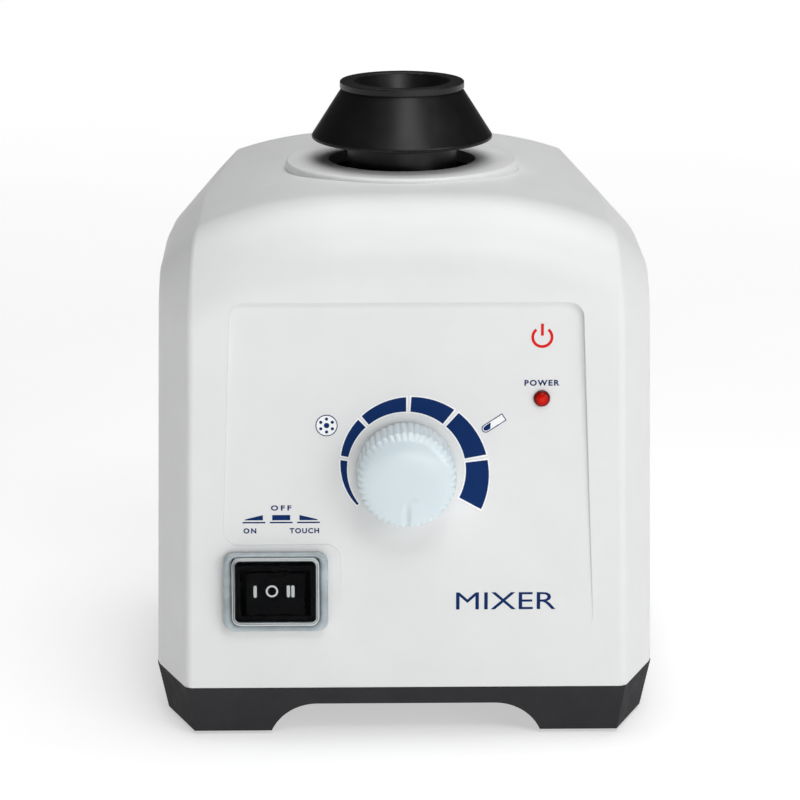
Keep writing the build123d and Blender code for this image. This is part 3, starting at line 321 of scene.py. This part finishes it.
def banded(name, colour, roughness, pitch, direction, rings):
    """Stacked sheets or wound wire: a fine relief of parallel bands, or of rings round an axis."""
    s = Shader(name)
    offset = s.add("VectorMath", {0: s.place, 1: (AXIS.x, AXIS.y, 0)}, operation="SUBTRACT").outputs[0]
    if rings:
        kinds = {"wave_type": "RINGS", "rings_direction": direction}
    else:
        kinds = {"wave_type": "BANDS", "bands_direction": direction}
    inputs = {"Vector": offset, "Scale": WAVE_PERIOD / pitch, "Distortion": 0.15}
    bands = s.add("TexWave", inputs, **kinds).outputs["Fac"]
    stains = s.spread(s.noise(5 * MM, 4), 0.35, 0.7)
    base = s.blend(bands, shaded(colour, 0.45), colour)
    base = s.blend(s.maths("MULTIPLY", stains, 0.35), base, shaded(colour, 0.6))
    normal = s.bump(bands, pitch * 0.4, s.rounded_normal(0.15 * MM))
    return s.output(s.principled(base_color=base, metallic=1.0, roughness=roughness, normal=normal))


FINISHES = {
    "housing_shell": housing_shell,
    "base_paint": base_paint,
    "foot_rubber": foot_rubber,
    "cup_rubber": cup_rubber,
    "guard_plastic": guard_plastic,
    "knob_plastic": knob_plastic,
    "lamp_red": lamp_red,
    "black_plastic": black_plastic,
    "boot_clear": boot_clear,
    "switch_black": switch_black,
    "board_laminate": board_laminate,
    "fuse_glass": fuse_glass,
    "zinc_steel": lambda: metal("zinc_steel", (0.62, 0.63, 0.65), 0.32, grain=0.4 * MM),
    "contact_brass": lambda: metal("contact_brass", (0.78, 0.60, 0.30), 0.28, stretch=(1, 0.1, 1)),
    "pot_case": lambda: metal("pot_case", (0.70, 0.70, 0.70), 0.38, stretch=(1, 0.2, 1)),
    "capacitor_case": lambda: moulded("capacitor_case", (0.72, 0.46, 0.05), 0.22, mottle=0.06,
                                      coat_weight=0.5),
    "choke_core": lambda: banded("choke_core", (0.62, 0.26, 0.09), 0.3, 0.9 * MM, "X", False),
    "heatsink_aluminium": lambda: metal("heatsink_aluminium", (0.74, 0.75, 0.77), 0.36, stretch=(1, 1, 0.1)),
    "terminal_plastic": lambda: moulded("terminal_plastic", (0.04, 0.26, 0.09), 0.42, mottle=0.06),
    "bush_bronze": lambda: metal("bush_bronze", (0.62, 0.40, 0.18), 0.42, grain=0.15 * MM, stain=0.25),
    "spring_steel": lambda: metal("spring_steel", (0.52, 0.53, 0.55), 0.27, stretch=(1, 1, 3)),
    "carriage_aluminium": lambda: metal("carriage_aluminium", (0.72, 0.73, 0.74), 0.40, stretch=(0.1, 1, 1)),
    "bell_aluminium": lambda: metal("bell_aluminium", (0.62, 0.63, 0.64), 0.55, grain=0.7 * MM,
                                    depth=0.08 * MM, stain=0.2),
    "lamination_steel": lambda: banded("lamination_steel", (0.40, 0.40, 0.42), 0.42, 0.5 * MM, "Z", False),
    "copper_wire": lambda: banded("copper_wire", (0.74, 0.30, 0.11), 0.26, 0.45 * MM, "Z", True),
    "bearing_steel": lambda: metal("bearing_steel", (0.80, 0.80, 0.82), 0.16, stretch=(1, 1, 8), stain=0.06),
    "fan_plastic": lambda: moulded("fan_plastic", (0.06, 0.085, 0.13), 0.45, mottle=0.08),
}


def dress(obj, material):
    if not obj.material_slots:
        obj.data.materials.append(material)
    for slot in obj.material_slots:
        slot.material = material


made = {slot: finish() for slot, finish in FINISHES.items()}
for part in frame["record"]["subparts"]:
    dress(frame["nodes"][part["node"]], made[part["material_slot"]])


# ---- printed markings
PRINT_THICK = 0.03 * MM
SINK = 0.02 * MM                           # how far the film's back goes under the surface
SAME_POINT = 0.001 * MM
IN_FRONT = -1.0                            # y of a place well in front of the mixer
INKS = {
    "navy": ink("ink_navy", (0.0014, 0.023, 0.115)),
    "white": ink("ink_white", (0.93, 0.935, 0.935)),
    "red": ink("ink_red", (0.68, 0.010, 0.008)),
}


def surface_of(node):
    obj = frame["nodes"][node]
    return BVHTree.FromPolygons([v.co for v in obj.data.vertices], [p.vertices for p in obj.data.polygons])


PANEL = surface_of("upper_housing")
ROCKER_FACE = surface_of("rocker")


def depth_at(surface, x, z):
    """Where a line from the front first meets a surface."""
    hit = surface.ray_cast(Vector((x, IN_FRONT, z)), Vector((0, 1, 0)))[0]
    return hit.y


def circle(radius, x=0.0, z=0.0, steps=48):
    turns = [2 * pi * i / steps for i in range(steps)]
    return [(x + radius * cos(angle), z + radius * sin(angle)) for angle in turns]


def box_outline(x0, x1, z0, z1):
    return [(x0, z0), (x1, z0), (x1, z1), (x0, z1)]


def band(outer, inner):
    """The strip between two closed outlines with the same number of points, as four-sided outlines."""
    count = len(outer)
    return [[outer[i], outer[(i + 1) % count], inner[(i + 1) % count], inner[i]] for i in range(count)]


def print_piece(name, outlines, colour, origin, surface=None, body="chassis", level=0):
    """A raised film of ink in the shape of flat outlines, laid on a surface as seen from the front."""
    bm = bmesh.new()
    for outline in outlines:
        bm.faces.new([bm.verts.new((origin.x + x, 0, origin.z + z)) for x, z in outline])
    bmesh.ops.remove_doubles(bm, verts=bm.verts, dist=SAME_POINT)
    lay_ink(name, bm, colour, surface or PANEL, body, level)


def lay_ink(name, bm, colour, surface, body, level):
    """Wraps flat faces on a surface and thickens them; a higher level lies over a lower one."""
    bmesh.ops.triangulate(bm, faces=bm.faces)
    bmesh.ops.recalc_face_normals(bm, faces=bm.faces)
    back = list(bm.verts)
    grown = bmesh.ops.extrude_face_region(bm, geom=list(bm.faces))
    front = [v for v in grown["geom"] if isinstance(v, bmesh.types.BMVert)]
    for v in back:
        v.co.y = depth_at(surface, v.co.x, v.co.z) + SINK
    for v in front:
        v.co.y = depth_at(surface, v.co.x, v.co.z) - PRINT_THICK * (level + 1)
    bmesh.ops.recalc_face_normals(bm, faces=bm.faces)
    finish_piece(name, bm, INKS[colour], body)


def finish_piece(name, bm, material, body, smooth=False):
    mesh = bpy.data.meshes.new(name)
    bm.to_mesh(mesh)
    bm.free()
    for polygon in mesh.polygons:
        polygon.use_smooth = smooth
    piece = bpy.data.objects.new(name, mesh)
    bpy.context.scene.collection.objects.link(piece)
    dress(piece, material)
    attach(piece, body)
    return piece


def words(name, text, height, width, origin, x, z, weight=0.0, spacing=1.0):
    """Navy capitals of a given height and overall width, centred on (x, z) from an origin."""
    curve = bpy.data.curves.new(name, "FONT")
    curve.body = text
    curve.offset = weight
    curve.space_character = spacing
    curve.resolution_u = 4
    writing = bpy.data.objects.new(name, curve)
    bpy.context.scene.collection.objects.link(writing)
    mesh = bpy.data.meshes.new_from_object(writing.evaluated_get(bpy.context.evaluated_depsgraph_get()))
    bpy.data.objects.remove(writing)
    spots = [v.co.copy() for v in mesh.vertices]
    low = Vector((min(p.x for p in spots), min(p.y for p in spots)))
    high = Vector((max(p.x for p in spots), max(p.y for p in spots)))
    for v in mesh.vertices:
        across = (v.co.x - low.x) / (high.x - low.x) - 0.5
        up = (v.co.y - low.y) / (high.y - low.y) - 0.5
        v.co = (origin.x + x + across * width, 0, origin.z + z + up * height)
    bm = bmesh.new()
    bm.from_mesh(mesh)
    bpy.data.meshes.remove(mesh)
    bmesh.ops.remove_doubles(bm, verts=bm.verts, dist=SAME_POINT)
    lay_ink(name, bm, "navy", PANEL, "chassis", 0)


# The speed scale: a band that widens clockwise, cut into segments.
SCALE_STOPS = (218.8, 169.5, 131, 88, 49.8, 8.5, -31)        # degrees, from the slow end
SCALE_INNER = 15.6 * MM
SCALE_THIN, SCALE_THICK = 0.5 * MM, 6.7 * MM                 # the band's width at its two ends
SCALE_SWELL = 0.9                                            # below 1, the band widens early
SCALE_DRIFT, DRIFT_START, DRIFT_SWELL = 0.4 * MM, 0.75, 1.5  # its last quarter moves outwards
SCALE_RISE = 0.05 * MM                                       # above the knob's middle
SCALE_GAP = 0.55 * MM                                        # from a stop to the segment's end
SEGMENT_STEPS = 14
HALO = 0.32 * MM                                             # the white border's width


def scale_radii(angle, grow):
    """The inner and outer radius of the band at an angle, with a margin on both."""
    share = max((radians(SCALE_STOPS[0]) - angle) / radians(SCALE_STOPS[0] - SCALE_STOPS[-1]), 0)
    drift = SCALE_DRIFT * max(0, (share - DRIFT_START) / (1 - DRIFT_START)) ** DRIFT_SWELL
    width = SCALE_THIN + (SCALE_THICK - SCALE_THIN) * share ** SCALE_SWELL
    return SCALE_INNER + drift - grow, SCALE_INNER + drift + width + grow


def scale_segment(start, end, grow):
    """One segment between two angles, grown by a margin, as four-sided outlines."""
    trim = (SCALE_GAP - grow) / SCALE_INNER
    first, last = radians(start) - trim, radians(end) + trim
    pairs = []
    for step in range(SEGMENT_STEPS + 1):
        angle = first + (last - first) * step / SEGMENT_STEPS
        pairs.append([(radius * cos(angle), SCALE_RISE + radius * sin(angle))
                      for radius in scale_radii(angle, grow)])
    return [[here[1], after[1], after[0], here[0]] for here, after in zip(pairs, pairs[1:])]


def speed_scale():
    """Navy segments, each on a slightly larger white one."""
    layers = ((HALO, "white", 0, "speed_scale_border"), (0, "navy", 1, "speed_scale"))
    for grow, colour, level, name in layers:
        outlines = []
        for start, end in zip(SCALE_STOPS, SCALE_STOPS[1:]):
            outlines += scale_segment(start, end, grow)
        print_piece(name, outlines, colour, KNOB, level=level)


def rotor_symbol():
    """Slow speed: a ring of tubes seen from above."""
    x, z, radius, line = -20.9 * MM, 12.0 * MM, 2.9 * MM, 0.24 * MM
    hub_r, tube_r, ring_r, tubes = 0.72 * MM, 0.42 * MM, 1.75 * MM, 6
    print_piece("rotor_symbol_ground", [circle(radius, x, z)], "white", KNOB)
    marks = band(circle(radius, x, z), circle(radius - line, x, z)) + [circle(hub_r, x, z, 24)]
    for index in range(tubes):
        angle = pi / 2 + 2 * pi * index / tubes
        marks.append(circle(tube_r, x + ring_r * cos(angle), z + ring_r * sin(angle), 20))
    print_piece("rotor_symbol", marks, "navy", KNOB, level=1)


def tube_outline(half_width, mouth, steps=12):
    """A test tube lying along +u with its round end at u = 0."""
    turns = [pi * i / steps for i in range(steps + 1)]
    tip = [(half_width - half_width * sin(angle), half_width * cos(angle)) for angle in turns]
    return [(mouth, half_width)] + tip + [(mouth, -half_width)]


def tube_symbol():
    """Fast speed: a tilted test tube with liquid in its end."""
    tilt = radians(33)
    x, z = 20.0 * MM, 10.4 * MM
    half, length, line = 1.1 * MM, 6.9 * MM, 0.22 * MM
    liquid_end, liquid_slant, liquid_share = 2.6 * MM, 0.5 * MM, 0.62

    def turned(outline):
        return [(x + u * cos(tilt) - v * sin(tilt), z + u * sin(tilt) + v * cos(tilt)) for u, v in outline]

    outer = turned(tube_outline(half, length))
    inner = turned([(u + line if u < half else u - (line if u > length - line else 0), v * (1 - line / half))
                    for u, v in tube_outline(half, length)])
    print_piece("tube_symbol_ground", [outer], "white", KNOB)
    liquid = turned([(min(u + 2 * line, liquid_end + liquid_slant * v / half), v * liquid_share)
                     for u, v in tube_outline(half, liquid_end + liquid_slant)])
    print_piece("tube_symbol", band(outer, inner) + [liquid], "navy", KNOB, level=1)


def power_mark():
    """The usual open ring and bar, above the lamp."""
    z, radius, line = 16.4 * MM, 2.9 * MM, 0.75 * MM
    bar_low, bar_high = 0.4 * MM, 3.6 * MM
    steps, opening = 36, radians(38)
    angles = [pi / 2 + opening + (2 * pi - 2 * opening) * i / steps for i in range(steps + 1)]
    outer = [(radius * cos(a), z + radius * sin(a)) for a in angles]
    inner = [((radius - line) * cos(a), z + (radius - line) * sin(a)) for a in angles]
    marks = [[outer[i], outer[i + 1], inner[i + 1], inner[i]] for i in range(steps)]
    marks.append(box_outline(-line / 2, line / 2, z + bar_low, z + bar_high))
    print_piece("power_mark", marks, "red", LAMP)


LETTER_WEIGHT = 0.035                      # thickens small letters, in shares of their size
LEGEND_PITCH = 7.2 * MM                    # from one rocker shape to the next
LEGEND_X, LEGEND_Z = 1.6 * MM, 18.8 * MM   # the middle shape's line, from the switch's middle
LEGEND_HALF, LEGEND_LINE = 3.0 * MM, 0.19 * MM
LEGEND_CAPITAL = 1.45 * MM
OFF_Z, ON_Z = 22.77 * MM, 16.55 * MM


def switch_legend():
    """The three rocker positions: tilted one way, level, tilted the other way."""
    half, low, high, tip = LEGEND_HALF - 0.62 * MM, 0.62 * MM, 2.05 * MM, 0.25 * MM
    shapes = (
        [(-half, low), (half, low), (half, high), (-half, low + tip)],
        box_outline(-half, half, low, high),
        [(-half, low), (half, low), (half, low + tip), (-half, high)],
    )
    marks = []
    for index, shape in enumerate(shapes):
        x = LEGEND_X + (index - 1) * LEGEND_PITCH
        marks.append([(x + u, LEGEND_Z + v) for u, v in shape])
        line = box_outline(-LEGEND_HALF, LEGEND_HALF, -LEGEND_LINE, LEGEND_LINE)
        marks.append([(x + u, LEGEND_Z + v) for u, v in line])
    print_piece("switch_legend", marks, "navy", SWITCH)
    labels = (("OFF", 5.4 * MM, LEGEND_X, OFF_Z, 1.5), ("ON", 3.4 * MM, -6.7 * MM, ON_Z, 1.35),
              ("TOUCH", 7.8 * MM, 7.7 * MM, ON_Z, 1.2))
    for text, width, x, z, spacing in labels:
        name = "legend_" + text.lower()
        words(name, text, LEGEND_CAPITAL, width, SWITCH, x, z, LETTER_WEIGHT, spacing)


def capsule(half_width, half_height, x, steps=8):
    """An upright bar with round ends."""
    ends = []
    for rise, start in ((half_height - half_width, 0), (half_width - half_height, pi)):
        for step in range(steps + 1):
            angle = start + pi * step / steps
            ends.append((x + half_width * cos(angle), rise + half_width * sin(angle)))
    return ends


def rocker_marks():
    """I, O and II in white on the rocker's face."""
    half_height, half_width, rise = 1.68 * MM, 0.43 * MM, 0.7 * MM
    ring_x, ring_outer, ring_inner = -0.95 * MM, 1.64 * MM, 1.14 * MM
    bars_x = (-5.4 * MM, 3.4 * MM, 4.6 * MM)
    outlines = [capsule(half_width, half_height, x) for x in bars_x]
    outlines += band(circle(ring_outer, ring_x), circle(ring_inner, ring_x))
    middle = SWITCH + Vector((0, 0, rise))
    print_piece("rocker_marks", outlines, "white", middle, ROCKER_FACE, "rocker")


speed_scale()
rotor_symbol()
tube_symbol()
power_mark()
switch_legend()
rocker_marks()
words("power_label", "POWER", 1.6 * MM, 9.2 * MM, LAMP, 0, 4.15 * MM, LETTER_WEIGHT, 1.25)
words("type_label", "MIXER", 4.7 * MM, 26.5 * MM, KNOB, 26.5 * MM, -36.1 * MM)


# ---- pieces modelled in mesh over their CAD envelopes
def skin_of(name, loops, body, material, replaced=(), cap_first=False, cap_last=False, closed=False):
    """A smooth skin through rings of points; each ring has the same number of points."""
    bm = bmesh.new()
    rings = [[bm.verts.new(point) for point in loop] for loop in loops]
    pairs = list(zip(rings, rings[1:]))
    if closed:
        pairs.append((rings[-1], rings[0]))
    count = len(rings[0])
    for first, second in pairs:
        for i in range(count):
            bm.faces.new([first[i], first[(i + 1) % count], second[(i + 1) % count], second[i]])
    if cap_first:
        bm.faces.new(reversed(rings[0]))
    if cap_last:
        bm.faces.new(rings[-1])
    bmesh.ops.recalc_face_normals(bm, faces=bm.faces)
    piece = finish_piece(name, bm, material, body, smooth=True)
    if replaced:
        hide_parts(*replaced)


KNOB_LOW, KNOB_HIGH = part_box("speed_knob")
KNOB_DEEP = KNOB_HIGH.y - KNOB_LOW.y
KNOB_SIDE, KNOB_SHOULDER = 13.2, 13.0      # radii in mm at the side's back and front
KNOB_EDGE, KNOB_TOP, FACE_RISE = 9.5, 12.9, 3.4              # heights in mm off the panel
SIDE_RINGS, FACE_RINGS = 6, 60
FACE_ROLL, FACE_FALL = 0.62, 0.9           # a face that is flat in the middle and rolls over at its edge
RIBS_END, RIBS_FADE = 0.84, 0.8            # the ribs fade out over the outer part of the face
KNOB_RIBS = 44
RIB_STEPS = 8                              # points round the knob for each rib
RIB_DEPTH, RIB_SHAPE = 0.45 * MM, 1.3
GROOVE_HALF, GROOVE_DEEP = 1.35 * MM, 0.7 * MM
GROOVE_START, GROOVE_RUN_IN = 5.5 * MM, 3 * MM               # from the knob's middle
GROOVE_FROM = 0.72                         # the groove is cut above this share of the knob's depth


def knob_profile():
    """(radius, height off the panel, share of the ribs' depth) from the bore, round the back, to the face."""
    bore_r, bore_end, hollow_r, hollow_end, back_r, chamfer = 3.1, 10.2, 8.6, 4.6, 12.5, 0.25
    points = [(bore_r, bore_end, 0), (bore_r, hollow_end, 0), (hollow_r, hollow_end, 0), (hollow_r, 0, 0),
              (back_r, 0, 0), (KNOB_SHOULDER, 0, 0.4), (KNOB_SIDE, chamfer, 1)]
    for step in range(1, SIDE_RINGS + 1):
        share = step / SIDE_RINGS
        points.append((KNOB_SIDE + (KNOB_SHOULDER - KNOB_SIDE) * share,
                       chamfer + (KNOB_EDGE - chamfer) * share, 1))
    for step in range(1, FACE_RINGS + 1):
        angle = pi / 2 * step / (FACE_RINGS + 0.4)
        share = cos(angle) ** FACE_ROLL
        height = KNOB_TOP - FACE_RISE * (1 - sin(angle) ** FACE_FALL)
        ribs = max(0, (share - RIBS_END) / (1 - RIBS_END)) ** RIBS_FADE
        points.append((KNOB_SHOULDER * share, height, ribs))
    return [(radius * MM, height * MM, ribs) for radius, height, ribs in points]


def speed_knob():
    """A ribbed side that runs out into a smooth domed face, with a moulded groove as its pointer."""
    steps = KNOB_RIBS * RIB_STEPS
    loops = []
    for radius, height, ribs in knob_profile():
        loop = []
        for index in range(steps):
            angle = 2 * pi * index / steps
            hump = abs(sin(KNOB_RIBS / 2 * angle))
            r = radius - ribs * RIB_DEPTH * (1 - hump) ** RIB_SHAPE
            x, z = r * cos(angle), r * sin(angle)
            sunk = 0.0
            if height > GROOVE_FROM * KNOB_DEEP and z < 0 and abs(x) < GROOVE_HALF:
                run_in = min(1.0, max(0.0, (-z - GROOVE_START) / GROOVE_RUN_IN))
                sunk = GROOVE_DEEP * run_in * (0.5 + 0.5 * cos(pi * x / GROOVE_HALF))
            loop.append((KNOB.x + x, KNOB_HIGH.y - height + sunk, KNOB.z + z))
        loops.append(loop)
    skin_of("ribbed_knob", loops, "knob", made["knob_plastic"], ["speed_knob"], True, True)


def round_path(corners, steps=6, support=0.12 * MM):
    """A path through (x, y, softness) corners, each turned into a small bend between two support points."""
    path = [Vector(corners[0][:2])]
    for before, here, after in zip(corners, corners[1:], corners[2:]):
        point, soft = Vector(here[:2]), here[2]
        back = (Vector(before[:2]) - point).normalized()
        ahead = (Vector(after[:2]) - point).normalized()
        path.append(point + back * (soft + support))
        for step in range(steps + 1):
            t = step / steps
            path.append(point + back * soft * (1 - t) ** 2 + ahead * soft * t ** 2)
        path.append(point + ahead * (soft + support))
    path.append(Vector(corners[-1][:2]))
    return path


CUP_LOW, CUP_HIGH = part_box("rubber_cup")
CUP_TALL = (CUP_HIGH.z - CUP_LOW.z) / MM
SKIRT_R = (CUP_HIGH.x - CUP_LOW.x) / 2 / MM
CUP_STEPS = 160                            # points round the cup

# The cup's section from the socket under it, round the outside, to the hollow in its top: for each corner
# the radius, the depth under the rim and the softness of the bend, in mm.
SOCKET_R, STEM_R, NECK_R, RIM_R, MOUTH_R, WELL_R, AXIS_R = 11.0, 15.0, 16.55, 17.05, 13.25, 6.4, 0.06
CUP_SECTION = (
    (AXIS_R, 17.4, 0),
    (SOCKET_R, 17.4, 0.3),
    (SOCKET_R, CUP_TALL, 0.3),
    (STEM_R, CUP_TALL, 0.2),
    (STEM_R, 17.0, 0.9),
    (SKIRT_R - 1.1, 16.1, 0.4),
    (SKIRT_R - 0.1, 15.7, 0.35),
    (SKIRT_R, 15.0, 0.3),
    (NECK_R, 1.95, 0.12),
    (RIM_R, 1.85, 0.12),
    (RIM_R, 0.25, 0.12),
    (RIM_R - 0.25, 0, 0.12),
    (MOUTH_R, 0, 0.3),
    (MOUTH_R - 0.35, 0.7, 0.4),
    (WELL_R, 12.4, 2.6),
    (AXIS_R, 13.5, 0),
)


def rubber_cup():
    """The moulded cup: a stem, a flared skirt with a rolled lip, and a beaded rim round a tapered mouth."""
    path = round_path([(r * MM, CUP_HIGH.z - depth * MM, soft * MM) for r, depth, soft in CUP_SECTION])
    turns = [2 * pi * index / CUP_STEPS for index in range(CUP_STEPS)]
    loops = []
    for r, z in path:
        loops.append([(CUP.x + r * cos(angle), CUP.y + r * sin(angle), z) for angle in turns])
    skin_of("moulded_cup", loops, "cup", made["cup_rubber"], ["rubber_cup"], True, True)


def rounded_outline(half_x, half_z, radius, y, rise, corner_steps=10, side_steps=6):
    """A rounded rectangle at depth y, its middle a rise above the switch's."""
    points = []
    for turn, (side_x, side_z) in enumerate(((1, 1), (-1, 1), (-1, -1), (1, -1))):
        for step in range(corner_steps + 1):
            angle = pi / 2 * (turn + step / corner_steps)
            points.append((side_x * (half_x - radius) + radius * cos(angle),
                           side_z * (half_z - radius) + radius * sin(angle)))
        next_x, next_z = ((-1, 1), (-1, -1), (1, -1), (1, 1))[turn]
        start = points[-1]
        angle = pi / 2 * (turn + 1)
        stop = (next_x * (half_x - radius) + radius * cos(angle),
                next_z * (half_z - radius) + radius * sin(angle))
        for step in range(1, side_steps):
            share = step / side_steps
            points.append((start[0] + (stop[0] - start[0]) * share, start[1] + (stop[1] - start[1]) * share))
    return [(SWITCH.x + x, y, SWITCH.z + rise + z) for x, z in points]


BOOT_LOW, BOOT_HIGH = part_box("switch_boot")
BOOT_HALF_X = (BOOT_HIGH.x - BOOT_LOW.x) / 2
BOOT_HALF_Z = (BOOT_HIGH.z - BOOT_LOW.z) / 2
BOOT_WIDTH = 2.35 * MM                     # the border, from its outer edge to the dome
FRAME_HALF_Z, FRAME_RISE = BOOT_HALF_Z - 0.4 * MM, 0.3 * MM
FRAME_CORNER, DOME_CORNER = 2.9 * MM, 1.7 * MM               # corner radii outside and at the dome
DOME_HALF_X, DOME_HALF_Z, DOME_RISE = BOOT_HALF_X - BOOT_WIDTH, BOOT_HALF_Z - 1.9 * MM, 0.85 * MM
DOME_FOOT = 2.2 * MM                       # the dome starts this far off the panel, inside the border
FOOT_CORNER, SHOULDER_CORNER, CROWN_CORNER = 2.2 * MM, 2.3 * MM, 1.0 * MM
SHOULDER_STEPS = 8
CROWN_SHARES = (0.8, 0.6, 0.4, 0.2, 0.06)  # rings of the crown, from its edge to its middle


def boot_frame():
    """The boot's thick border: a soft half-round that stands on the panel."""
    back, proud, crest = BOOT_HIGH.y, 3.2 * MM, 1.3 * MM
    steps = 12

    def ring(share, y):
        """The outer edge at share 0, the dome's foot at share 1."""
        half_x = BOOT_HALF_X + share * (DOME_HALF_X - BOOT_HALF_X)
        half_z = FRAME_HALF_Z + share * (DOME_HALF_Z - FRAME_HALF_Z)
        corner = FRAME_CORNER + share * (DOME_CORNER - FRAME_CORNER)
        rise = FRAME_RISE + share * (DOME_RISE - FRAME_RISE)
        return rounded_outline(half_x, half_z, corner, y, rise)

    loops = [ring(1, back)]
    for step in range(steps + 1):
        angle = pi * step / steps
        loops.append(ring(0.5 + 0.5 * cos(angle), back - (proud - crest + crest * sin(angle))))
    loops.append(ring(0, back))
    skin_of("boot_frame", loops, "chassis", boot_thick(), closed=True)


def boot_dome():
    """The clear membrane over the rocker: steep sides, a round shoulder and a slightly crowned face."""
    foot, top, thick = BOOT_HIGH.y - DOME_FOOT, BOOT_LOW.y, 0.55 * MM
    half_x, half_z, shoulder, crown = DOME_HALF_X, DOME_HALF_Z, 1.3 * MM, 0.25 * MM

    def sheet(inset):
        shoulder_y = top + crown + shoulder
        corner = FOOT_CORNER - inset
        loops = [rounded_outline(half_x - inset, half_z - inset, corner, foot, DOME_RISE)]
        for step in range(SHOULDER_STEPS + 1):
            angle = pi / 2 * step / SHOULDER_STEPS
            tuck = inset + (shoulder - inset) * (1 - cos(angle))
            y = shoulder_y - (shoulder - inset) * sin(angle)
            corner = SHOULDER_CORNER - tuck
            loops.append(rounded_outline(half_x - tuck, half_z - tuck, corner, y, DOME_RISE))
        flat_x, flat_z = half_x - shoulder, half_z - shoulder
        for share in CROWN_SHARES:
            y = top + inset + crown * share ** 2
            corner = CROWN_CORNER * share
            loops.append(rounded_outline(flat_x * share, flat_z * share, corner, y, DOME_RISE))
        return loops

    outer, inner = sheet(0.0), sheet(thick)
    skin_of("boot_dome", outer, "chassis", made["boot_clear"], ["switch_boot"], cap_last=True)
    skin_of("boot_dome_lining", inner, "chassis", made["boot_clear"], cap_last=True)


speed_knob()
rubber_cup()
boot_frame()
boot_dome()


# ---- stage, lights and camera
FLOOR_HALF = 8.0
PAPER_NEAR, PAPER_FAR = 0.3, 1.3           # distances from the motor axis
GLOW_NEAR, GLOW_FAR = 0.80, 1.3


def floor():
    """White paper.  Its own glow makes up for the lights' fall-off, so that it stays white further out."""
    bm = bmesh.new()
    bmesh.ops.create_grid(bm, x_segments=1, y_segments=1, size=FLOOR_HALF)
    mesh = bpy.data.meshes.new("floor")
    bm.to_mesh(mesh)
    bm.free()
    plane = bpy.data.objects.new("floor", mesh)
    bpy.context.scene.collection.objects.link(plane)
    plane.location.z = CAD_BOX[0].z - 0.05 * MM
    s = Shader("floor_paper")
    clouds = s.spread(s.noise(0.4, 3), 0.3, 0.7)
    base = s.blend(clouds, (0.635, 0.635, 0.635), (0.65, 0.65, 0.65))
    offset = s.add("VectorMath", {0: s.place, 1: (AXIS.x, AXIS.y, 0)}, operation="SUBTRACT").outputs[0]
    away = s.add("VectorMath", {0: offset}, operation="LENGTH").outputs["Value"]
    glow = s.spread(away, PAPER_NEAR, PAPER_FAR, GLOW_NEAR, GLOW_FAR)
    dress(plane, s.output(s.principled(base_color=base, roughness=0.9, ior=1.1, emission_color=base,
                                       emission_strength=glow)))


def softbox(name, place, aim, size, power):
    """A white rectangular light of (width, height) at a place, turned to its aim."""
    light = bpy.data.lights.new(name, "AREA")
    light.shape = "RECTANGLE"
    light.size, light.size_y = size
    light.energy = power
    lamp = bpy.data.objects.new(name, light)
    bpy.context.scene.collection.objects.link(lamp)
    lamp.location = place
    lamp.rotation_euler = (Vector(aim) - Vector(place)).to_track_quat("-Z", "Y").to_euler()


def lights():
    aim = (0, 0, 0.08)
    softbox("key", (1.1, -1.1, 0.55), aim, (0.9, 0.8), 7)
    softbox("front_high", (0.2, -0.95, 1.15), (0, 0, 0.16), (0.6, 0.5), 3.9)
    softbox("front_strip", (0.1, -1.0, 1.0), (0, 0, 0.05), (0.5, 0.03), 0.7)
    softbox("front_low", (0.25, -1.3, 0.07), (0, 0, 0.14), (0.6, 0.12), 1.0)
    softbox("top", (0.1, 0.1, 1.3), aim, (1.2, 1.2), 11.0)
    world = bpy.data.worlds.new("studio")
    world.use_nodes = True
    background = world.node_tree.nodes["Background"]
    background.inputs["Color"].default_value = (1, 1, 1, 1)
    background.inputs["Strength"].default_value = 0.05
    bpy.context.scene.world = world


CAMERA_DISTANCE = 1.0                      # level distance to the motor axis
CAMERA_HEIGHT = 0.3272
CAMERA_AZIMUTH = radians(-1.0)
CAMERA_PITCH = radians(14.06)
CAMERA_LENS = 165.6                        # on a 36 mm wide sensor
CAMERA_ASIDE = -0.0005                     # sets the object slightly right of the middle


def camera():
    data = bpy.data.cameras.new("camera")
    data.lens = CAMERA_LENS
    data.sensor_width = 36.0
    eye = bpy.data.objects.new("camera", data)
    bpy.context.scene.collection.objects.link(eye)
    eye.location = (AXIS.x + CAMERA_DISTANCE * sin(CAMERA_AZIMUTH) + CAMERA_ASIDE,
                    AXIS.y - CAMERA_DISTANCE * cos(CAMERA_AZIMUTH), CAMERA_HEIGHT)
    eye.rotation_euler = (pi / 2 - CAMERA_PITCH, 0, CAMERA_AZIMUTH)
    bpy.context.scene.camera = eye


floor()
lights()
camera()
bpy.context.scene.view_settings.view_transform = "Standard"
